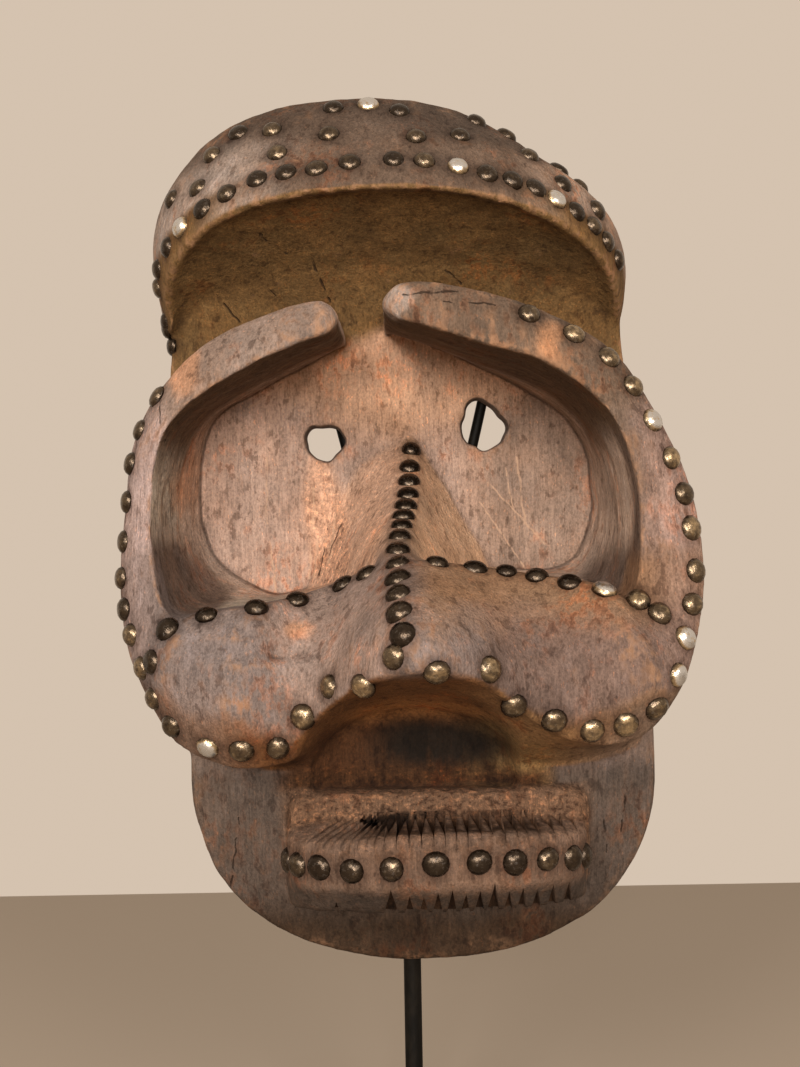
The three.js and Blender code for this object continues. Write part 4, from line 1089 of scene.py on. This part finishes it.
# Painted shade in the cuts between the teeth, 1 deep in a cut and 0 on the band's own skin: a cut's half
# width shrinks evenly to its point, which lies further forward the higher it is
def toothGapShade(points):
    x, forward, up = points.T[:, :, None]
    level = up - mouthBand["up"]
    across = np.clip(bandShare(x), -1, 1)
    high, share = np.array(sorted((high, share) for share, high in bandProfile)).T
    share = np.interp(level - bandSag(across), high, share)
    share = np.where(level < 0, np.maximum(share, gapShade["leastShare"]), share)
    skin = mix(mouthBlock["forward"], bandForward(across), share)
    root = mouthBlock["forward"] + toothCut["root"]
    place, lean, width, behind = upperCuts.T
    past = tableAt(np.array(upperEnds), level)[1]
    tip = bandForward(bandShare(place)) - behind + past
    left = np.clip((tip - forward) / (tip - root), 0, 1)
    half = gapShade["upperWidth"] * width * left + gapShade["upperFoot"]
    over = ramp(half - np.abs(x - place - lean * left), -gapShade["soft"], gapShade["soft"])
    over = over * (left > 0.01) * ramp(level, -3, -1) * ramp(level, 14, 12)
    place, width, height = lowerCuts.T
    left = np.clip(1 - (up - toothCut["foot"]) / height, 0, 1)
    half = width / 2 * left + gapShade["lowerFoot"]
    under = ramp(half - np.abs(x - place), -gapShade["soft"], gapShade["soft"]) * (left > 0.02) * ramp(level, -2, -4)
    gaps = np.maximum(over.max(axis=1), under.max(axis=1))
    return gaps * (ramp(skin - forward, 0, gapShade["deep"]) * (forward > root - gapShade["behind"]))[:, 0]


# Colours laid over one another, area by area, each with a soft border, some of them painted shade; how far
# edges are rubbed and hollows filled comes from the height of the wood over its own smoothed shape
def paintWood(mesh, seats):
    points, edges = readMesh(mesh)
    outwards = outwardsAt(mesh)
    x, forward, up = points.T
    side, front, over = outwards.T
    sine, cosine = math.sin(cap["rise"]), math.cos(cap["rise"])
    along = forward * cosine + (up - cap["rimHeight"]) * sine
    level = (up - cap["rimHeight"]) * cosine - forward * sine
    wander = uneven(points, wear["wander"])
    tone = np.tile(patina["aged"], (len(points), 1))

    def lay(name, *masks):
        nonlocal tone
        tone = mix(tone, np.array(patina[name]), np.prod(masks, axis=0)[:, None])

    # A round area with a ragged border, full inside the given share of its half width and height
    def patch(place, halves, ragged, full, fade=1.1):
        apart = np.hypot((x - place[0]) / halves[0], (up - place[1]) / halves[1])
        return ramp(apart + ragged * wander, fade, full)

    ring = np.sqrt(((x + 1) / 104) ** 2 + ((up - 25) / 78) ** 2)
    rim = backRim["forward"] - backRim["lean"] * up
    outer = within(up, -95, -85, 85, 95)
    lay("sideLeft", 0.55 * outer, ramp(-x, 96, 106), ramp(forward, 95, 84))
    lay("sideRight", 0.6 * outer, ramp(x, 96, 106), ramp(forward, 108, 90))
    capBody = ramp(level, -3, 2) * ramp(up, 92, 100) * ramp(along, -60, -10)
    lay("capMiddle", capBody)
    lay("capLeft", capBody, ramp(-x + wander, 35, 70), ramp(level + wander, 52, 30))
    lay("capRight", capBody, ramp(x + wander, 45, 80), ramp(level + wander, 55, 30))
    lay("capTop", capBody, ramp(level + wander, 26, 46), 0.8 * ramp(np.abs(x + 8), 100, 60))
    facingPlane = front * sine - over * cosine
    under = ramp(facingPlane, 0.2, 0.55) * ramp(level, 17, 12) * ramp(along, -30, -5) * ramp(up, 94, 99)
    under = under * ramp(np.abs(x), 112, 104)
    lay("capUnder", under)
    recess = ramp(ring, 1.0, 0.93) * within(up, -34, -28, 100, 108)
    walls = recess * within(forward, 1, 6, 88, 100) * ramp(front, 0.75, 0.45)
    lay("wall", walls)
    lay("wallDark", walls, ramp(-x, 40, 70), ramp(forward + wander, 22, 50))
    lay("hornInner", recess, ramp(forward, 20, 45), ramp(front, 0.75, 0.45), ramp(over, 0.1, -0.2),
        ramp(up + 0.3 * np.abs(x), 52, 70))
    plateMask = ramp(np.abs(forward), 5, 2.2) * ramp(front, 0.5, 0.8) * ramp(np.abs(x), 110, 104)
    plateMask = plateMask * ramp(up, -36, -30)
    lay("plateLeft", plateMask)
    lay("plateRight", plateMask, ramp(x + wander, 15, 45))
    lay("plateBrow", plateMask, ramp(up + wander - 0.35 * np.abs(x), 34, 56))
    lay("capUnder", ramp(up + 0.42 * np.abs(x) + 0.4 * wander, 94, 104) * ramp(forward, 62, 45),
        ramp(forward, -6, -2) * ramp(front - over, -0.1, 0.3) * ramp(level, 17, 12))
    noseMask = ramp(np.abs(x - 1), 52, 40) * within(up, -34, -26, 44, 52) * within(forward, 1, 3.5, 96, 104)
    lay("noseLeft", noseMask, ramp(x, 6, -2))
    lay("noseRight", noseMask, ramp(x, -2, 6))
    gouged = ramp(np.hypot((x + 34 + 0.12 * (up - 5)) / 11, (up - 2 + wander) / 34), 1.15, 0.7)
    gouged = gouged * within(forward, -4, -1, 40, 60)
    lay("gouged", 0.85 * gouged)
    face = ramp(forward, 66, 76) * ramp(up, -22, 0) * ramp(front, 0.1, 0.4) * ramp(level, 0, -4)
    lay("hornLeft", face, ramp(-x, 0, 14))
    lay("sideLeft", face, ramp(-x + wander, 88, 102), ramp(up, 62, 40))
    lay("hornRight", face, ramp(x, -14, -8))
    lay("sideRight", face, ramp(x + wander, 80, 100), ramp(up, 62, 36))
    lay("hornTip", face, ramp(np.hypot(x + 3, (up - 90) * 1.4), 12, 7) * 0.8)
    tips = ramp(forward, 84, 92) * ramp(np.abs(side), 0.3, 0.6) * ramp(up, 74, 80)
    lay("hornTip", tips * ramp(np.abs(x + 9), 17, 13))
    lay("worn", face, patch((-83, 63), (8, 10), 0.12, 0.4), 0.5 * (x < 0))
    lay("worn", face, patch((58, 73), (5, 9), 0.16, 0.4), 0.5 * (x > 0))
    lay("worn", walls, patch((-80, 22), (16, 26), 0.1, 0.6), 0.6 * (x < 0))
    muzzle = within(up, -112, -104, -14, -4) * ramp(forward, 80, 88)
    lay("muzzleLeft", muzzle)
    lay("muzzleMiddle", muzzle, ramp(np.abs(x + 22 + wander), 34, 14))
    lay("muzzleRight", muzzle, ramp(x + wander, 16, 44))
    lay("muzzleCrest", muzzle, ramp(x, 0, 14), ramp(up + wander, -40, -22))
    lay("worn", muzzle, 0.5 * patch((-39, -36), (8, 4.5), 0.12, 0.5))
    lay("sideRight", muzzle, 0.5 * ramp(x, 88, 104))
    lay("sideLeft", muzzle, 0.6 * ramp(-x, 90, 104), ramp(up, -62, -40))
    belly = ramp(over, -0.12, -0.42) * within(up, -112, -106, -52, -46) * ramp(forward, 40, 60)
    lay("underLeft", belly)
    lay("underRight", belly, ramp(x + wander, 18, 48))
    lay("aged", belly, 0.7 * ramp(np.abs(x - 4), 52, 82))
    # The jaw's dark brown is partly its own wood and partly painted shade under the muzzle; the darker colour
    # towards its foot is painted shade
    jawMask = ramp(up, -88, -97) * ramp(forward, 66, 76) * (1 - belly)
    lay("jaw", jawMask)
    lay("jawLowShade", jawMask, ramp(up + 0.5 * wander, -140, -158))
    hole = ramp(np.abs(x - 4), 58, 46) * within(up, -103, -99, -62, -52) * ramp(forward, 118, 88)
    lay("throatLeft", hole)
    lay("throatRight", hole, ramp(x + wander, 18, 44))
    lay("throatTop", hole, ramp(up, -78, -68), ramp(np.abs(x - 5), 40, 20))
    # A near-black patch deep in the hole under the muzzle: the wood's own dark colour and painted shadow
    lay("pocket", hole, patch((17, -85), (34, 13), 0.03, 0.45, 1.3))
    lay("pocketFoot", hole, ramp(up + 0.4 * wander, -91, -97))
    block = within(x, -52, -46, 72, 78) * within(up, -148, -143, -100.5, -98.5) * ramp(forward, 82, 90)
    lay("block", block)
    bandMask = block * ramp(forward, 97, 101)
    lay("band", bandMask)
    lay("bandLow", bandMask, ramp(up, -127, -134))
    # Painted shade deep in the cuts between the teeth
    lay("gapShade", toothGapShade(points))
    hollow = ramp(front, 0.1, -0.25) * ramp(forward, 78, 70) * ramp(np.abs(x), 104, 98)
    lay("inside", hollow, ramp(up, -160, -150))
    lay("inside", 1 - ramp(forward, rim - 4, rim + 6))

    smooth = relaxed(points, edges, wear["rounds"])
    raised = ((points - smooth) * outwards).sum(-1)
    rubbed = ramp(raised + uneven(points, wear["uneven"]), wear["edge"], wear["full"])
    filled = ramp(-raised, wear["hollow"], wear["deep"])
    nearest = np.full(len(points), 99.0)
    for seat in seats:
        nearest = np.minimum(nearest, np.linalg.norm(points - seat, axis=1))
    ringed = ramp(nearest, wear["ring"], tack["radius"] - 0.4)
    sheltered = np.clip(belly + hole + hollow + 0.8 * block + 0.5 * jawMask, 0, 1)
    marks = [rubbed * (1 - 0.85 * sheltered), np.clip(filled * (1 - 0.8 * recess) + 0.85 * ringed, 0, 1),
             np.clip(plateMask + 0.6 * noseMask + gouged, 0, 1)]
    shade = 1 + uneven(points, wear["shade"])
    crust = np.clip(block * ramp(up, -121, -116) + 0.8 * hole * ramp(up, -88, -96) + 0.35 * walls * (x < 0)
                    + 0.5 * gouged + 0.25 * under - 0.5 * bandMask, 0.06, 1)
    tone = tone * shade[:, None] * wear["brighter"]
    warmth = 0.8 * (0.5 + uneven(points, wear["warmer"]))
    tone = tone * mix(1, np.array(wear["warm"]), warmth[:, None])
    addLayer(mesh, "patina", "FLOAT_COLOR", "color", np.column_stack([tone, crust]))
    addLayer(mesh, "marks", "FLOAT_VECTOR", "vector", np.column_stack(marks))


paintWood(maskMesh, tackSeats)
print("wood is painted")


# A node's socket, on which sums and products add Math nodes to its finish
class Strand:
    def __init__(self, finish, socket):
        self.finish = finish
        self.socket = socket

    def sum(self, operation, first, second):
        return self.finish.node("Math", {"operation": operation}, {0: first, 1: second})

    def __add__(self, other):
        return self.sum("ADD", self, other)

    def __sub__(self, other):
        return self.sum("SUBTRACT", self, other)

    def __rsub__(self, other):
        return self.sum("SUBTRACT", other, self)

    def __mul__(self, other):
        return self.sum("MULTIPLY", self, other)

    __radd__ = __add__
    __rmul__ = __mul__

    # 0 up to low, 1 from high on
    def between(self, low, high):
        return self.finish.node("MapRange", {"interpolation_type": "SMOOTHSTEP"},
                                {0: self, 1: low, 2: high, 3: 0.0, 4: 1.0})


# Millimetres from the frame's metres for the drawn lines; depth counts for little, so that a line
# lies on the surface that it crosses
lineScale = (1000.0, 120.0, 1000.0)


# A material under construction: every node is added by one method
class Finish:
    def __init__(self, name):
        self.material = bpy.data.materials.new(name)
        self.material.use_nodes = True
        self.tree = self.material.node_tree
        self.tree.nodes.clear()
        self.place = self.node("TexCoord", output=3)

    def node(self, kind, settings=None, sockets=None, output=0):
        node = self.tree.nodes.new("ShaderNode" + kind)
        for name, value in (settings or {}).items():
            if name == "stops":
                for place, colour in value[2:]:
                    node.color_ramp.elements.new(place)
                for stop, (place, colour) in zip(node.color_ramp.elements, sorted(value)):
                    stop.position = place
                    stop.color = colour
            else:
                setattr(node, name, value)
        for name, value in (sockets or {}).items():
            if isinstance(value, Strand):
                self.tree.links.new(value.socket, node.inputs[name])
            else:
                node.inputs[name].default_value = value
        return Strand(self, node.outputs[output])

    def mixed(self, share, first, second, blend="MIX"):
        first, second = ((*value, 1) if isinstance(value, tuple) else value for value in (first, second))
        settings = {"data_type": "RGBA", "blend_type": blend}
        return self.node("Mix", settings, {0: share, 6: first, 7: second}, 2)

    # The colour, multiplied by the factors where the share is 1
    def tinted(self, share, colour, factors):
        return self.mixed(share, colour, self.mixed(1.0, colour, factors, "MULTIPLY"))

    def scaled(self, factors):
        return self.node("VectorMath", {"operation": "MULTIPLY"}, {0: self.place, 1: factors})

    # Noise whose features are about the given size in millimetres along x, y and z
    def noise(self, size, detail, roughness):
        factors = tuple(1000 / value for value in size)
        return self.node("TexNoise", {}, {"Vector": self.scaled(factors), "Scale": 1.0,
                                          "Detail": detail, "Roughness": roughness})

    def attribute(self, name, output=0):
        return self.node("Attribute", {"attribute_name": name}, output=output)

    # Distance in millimetres from a straight line between two places
    def fromLine(self, place, start, end):
        start, end = toFrame(start) * lineScale, toFrame(end) * lineScale
        way = end - start
        offset = self.node("VectorMath", {"operation": "SUBTRACT"}, {0: place, 1: tuple(start)})
        reach = self.node("VectorMath", {"operation": "DOT_PRODUCT"},
                          {0: offset, 1: tuple(way / (way @ way))}, 1)
        share = self.node("Clamp", {}, {0: reach, 1: 0.0, 2: 1.0})
        nearest = self.node("VectorMath", {"operation": "SCALE"}, {0: tuple(way), "Scale": share})
        return self.node("VectorMath", {"operation": "DISTANCE"}, {0: offset, 1: nearest}, 1)

    # 1 along each line, out to the share of its half width, and 0 past its border
    def lines(self, place, lines, border, share=0.4):
        drawn = None
        for start, end, half in lines:
            mark = self.fromLine(place, start, end).between(half + border, half * share)
            drawn = mark if drawn is None else drawn.sum("MAXIMUM", drawn, mark)
        return drawn

    def bump(self, height, distance, strength):
        return self.node("Bump", {}, {"Height": height, "Distance": distance, "Strength": strength})

    def surface(self, sockets):
        shader = self.node("BsdfPrincipled", {}, sockets)
        self.tree.links.new(shader.socket, self.tree.nodes.new("ShaderNodeOutputMaterial").inputs[0])
        return self.material


# Dark cracks and pale scratches: start, end, and half their width, all in millimetres
cracks = [
    ((-30.5, 6, 19), (-34, 8, 3), 0.4), ((-34, 8, 3), (-38, 5, -19), 0.5),
    ((-25, 12, 10), (-33, 9, -9), 0.25),
    ((-68.6, 47, 139.5), (-55.3, 31, 128.6), 0.5), ((-55.3, 31, 128.6), (-48, 27, 125.5), 0.35),
    ((-37, 22, 122.4), (-30.4, 3, 108), 0.5), ((-82.7, 6, 111.7), (-73.4, 2, 100), 0.45),
    ((-58.7, 8, 113.5), (-50, 2, 106), 0.4), ((22.8, 17, 119), (30, 10, 114), 0.45),
    ((-95, 86, 62), (-91, 88, 30), 0.35), ((3, 98, 91.5), (24, 100, 92.5), 0.35),
    ((18, 99, 88), (38, 100, 87), 0.25),
    ((45, 68, 134), (47, 72, 147), 0.45), ((-66, 80, -112), (-70, 80, -140), 0.3),
    ((78, 80, -106), (80, 80, -128), 0.35), ((88, 80, -104), (86, 80, -122), 0.3),
]
scratches = [
    ((-28, 10, 22), (-33, 9, -14), 0.8), ((-36, 4, 16), (-41, 3, -20), 0.5),
    ((-64, 100, -47), (-64.5, 100, -54), 0.5), ((-58, 100, -47), (-57, 100, -56), 0.6),
    ((-52, 100, -48), (-53, 100, -55), 0.4), ((-47, 100, -47), (-46, 100, -53), 0.5),
    ((-62, 0, 37), (-62.4, 0, 6), 0.35), ((-61, 0, -3), (-58.7, 0, -26), 0.45),
    ((55.4, 0, 35), (58.7, 0, 4), 0.5), ((42, 0, 23), (68, 0, -6), 0.35), ((50, 0, 30), (53, 0, 12), 0.3),
    ((-40, 2, 22), (-43, 4, -20), 0.6), ((-33, 8, 18), (-37, 12, -18), 0.7), ((22, 20, 34), (33, 8, 12), 0.6),
    ((26, 22, 20), (36, 6, -8), 0.5), ((38, 0, 14), (60, 0, -20), 0.3), ((-70, 0, 60), (-52, 0, 72), 0.3),
]


# What multiplies the wood's colour where it is dusty, tanned and so on, and the colours of bare
# and cracked wood
woodTones = {
    "dust": (1.38, 1.45, 1.55), "tan": (1.75, 1.12, 0.8), "fleck": (2.2, 1.7, 1.35),
    "soot": (0.42, 0.38, 0.36), "crumb": (2.6, 2.3, 2.0), "dirt": (0.3, 0.25, 0.22),
    "bare": (0.46, 0.3, 0.2), "edge": (0.33, 0.18, 0.1), "scratch": (0.52, 0.34, 0.23),
    "crack": (0.016, 0.009, 0.005),
}


# Patina and painted shade from the mesh's colours, with grain, dust, soot, rubbed edges, dirt, scratches and
# cracks
def woodFinish():
    finish = Finish("carved wood")
    flat = finish.scaled(lineScale)
    ripple = finish.node("TexNoise", {}, {"Vector": finish.place, "Scale": 180.0, "Detail": 3.0}, 1)
    push = finish.node("VectorMath", {"operation": "MULTIPLY_ADD"},
                       {0: ripple, 1: (2.6, 2.6, 2.6), 2: (-1.3, -1.3, -1.3)})
    wandering = finish.node("VectorMath", {"operation": "ADD"}, {0: flat, 1: push})
    marks = finish.attribute("marks", 1)
    rubbed, filled, bare = (finish.node("SeparateXYZ", {}, {0: marks}, axis) for axis in range(3))
    grain = finish.noise((1.5, 1.5, 16), 4.0, 0.62)
    fibre = finish.noise((0.45, 0.45, 7), 2.0, 0.5)
    speckle = finish.noise((0.9, 0.9, 1.3), 4.0, 0.7)
    blotch = finish.noise((7, 7, 12), 4.0, 0.65)
    cloud = finish.noise((24, 24, 34), 3.0, 0.6)
    patch = finish.noise((3.2, 3.2, 5.5), 3.0, 0.6)
    colour = finish.attribute("patina")
    crust = finish.attribute("patina", 3)
    crumbs = finish.noise((3.4, 3.4, 2.4), 6.0, 0.75)
    streaks = grain.between(0.38, 0.62) * 0.26 + fibre.between(0.35, 0.65) * 0.14
    streaks = streaks + speckle.between(0.4, 0.6) * 0.34 + 0.66
    greys = finish.node("CombineColor", {}, {0: streaks, 1: streaks, 2: streaks})
    colour = finish.mixed(1.0, colour, greys, "MULTIPLY")
    dusty = blotch.between(0.5, 0.74) * (1.0 - bare * 0.6)
    colour = finish.tinted(dusty * 0.6, colour, woodTones["dust"])
    tan = cloud.between(0.5, 0.72) * patch.between(0.44, 0.58) * 0.6
    colour = finish.tinted(tan, colour, woodTones["tan"])
    flecks = finish.noise((1.0, 1.0, 2.6), 3.0, 0.6).between(0.6, 0.68) * blotch.between(0.35, 0.6)
    colour = finish.tinted(flecks * 0.6, colour, woodTones["fleck"])
    soot = patch.between(0.52, 0.6) * blotch.between(0.56, 0.42) * 0.7 + speckle.between(0.6, 0.7) * 0.4
    colour = finish.tinted(soot, colour, woodTones["soot"])
    pale = speckle.between(0.62, 0.78) * bare * 0.35
    colour = finish.mixed(pale, colour, woodTones["bare"])
    edgeWear = rubbed * patch.between(0.38, 0.62)
    colour = finish.mixed(edgeWear * 0.62, colour, woodTones["edge"])
    lumps = crumbs.between(0.53, 0.63) * crust
    pits = crumbs.between(0.48, 0.38) * crust
    colour = finish.tinted(lumps * 0.7, colour, woodTones["crumb"])
    colour = finish.tinted(pits * 0.8, colour, woodTones["dirt"])
    dirt = filled * (0.5 + 0.5 * patch)
    colour = finish.tinted(dirt, colour, woodTones["dirt"])
    scratched = finish.lines(wandering, scratches, 0.35) * grain.between(0.3, 0.5) * (0.45 + 0.55 * bare)
    colour = finish.mixed(scratched * 0.7, colour, woodTones["scratch"])
    cracked = finish.lines(wandering, cracks, 0.15)
    colour = finish.mixed(cracked * 0.75, colour, woodTones["crack"])
    opened = cracked * patch.between(0.3, 0.5)
    height = grain * 0.45 + fibre * 0.15 + speckle * 0.6 + patch * 0.5 - opened * 1.2 + crumbs * crust * 2.0
    height = height + blotch * 0.8 - flecks * 0.2
    roughness = 0.72 - rubbed * 0.14 + patch * 0.16 - blotch.between(0.55, 0.8) * 0.1
    return finish.surface({"Base Color": colour, "Roughness": roughness, "Specular IOR Level": 0.14,
                           "Normal": finish.bump(height, 0.0011, 0.9)})


# Aged bronze-brown heads, lighter on top partly from rubbing and partly as a painted highlight, a few of them
# almost silver
def tackFinish():
    finish = Finish("aged brass")
    tone = finish.attribute("tone", 2)
    spots = finish.noise((2.4, 2.4, 2.4), 4.0, 0.65)
    fine = finish.noise((1.3, 1.3, 1.3), 3.0, 0.6)
    bright = tone.between(0.74, 0.9)
    colour = finish.node("ValToRGB", {"stops": [(0.0, (0.02, 0.015, 0.011, 1)), (1.0, (0.55, 0.4, 0.23, 1)),
                                                (0.42, (0.055, 0.04, 0.028, 1)),
                                                (0.7, (0.15, 0.11, 0.07, 1))]},
                         {0: spots * 0.9 + tone * 0.85 - 0.2})
    colour = finish.mixed(bright * spots.between(0.3, 0.5), colour, (0.62, 0.6, 0.57))
    tarnish = fine.between(0.56, 0.7) * (1.0 - bright * 0.7)
    colour = finish.mixed(tarnish * 0.5, colour, (0.022, 0.017, 0.014))
    roughness = 0.17 + spots * 0.16 + tarnish * 0.3
    metal = 0.92 - tarnish * 0.5
    return finish.surface({"Base Color": colour, "Metallic": metal, "Roughness": roughness,
                           "Normal": finish.bump(spots * 0.6 + fine * 0.4, 0.0005, 0.6)})


# Blackened steel with a little rubbed brown
def steelFinish():
    finish = Finish("blackened steel")
    spots = finish.noise((6, 6, 14), 4.0, 0.6)
    fine = finish.noise((0.8, 0.8, 0.8), 3.0, 0.6)
    colour = finish.mixed(spots.between(0.45, 0.75), (0.0045, 0.0038, 0.003), (0.011, 0.0085, 0.006))
    roughness = 0.42 + fine * 0.18 + spots * 0.08
    return finish.surface({"Base Color": colour, "Specular IOR Level": 0.1,
                           "Roughness": roughness, "Normal": finish.bump(fine, 0.0003, 0.35)})


finishes = {"wood": woodFinish(), "brass": tackFinish(), "steel": steelFinish()}
finished = [(mask, "wood"), (stand, "steel"), (foot, "steel")] + [(row, "brass") for row in tackPieces]
for piece, finish in finished:
    piece.data.materials.clear()
    piece.data.materials.append(finishes[finish])
print("materials are on")

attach(mask, "root")
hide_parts("mask_body")
shadeSmooth(maskMesh)
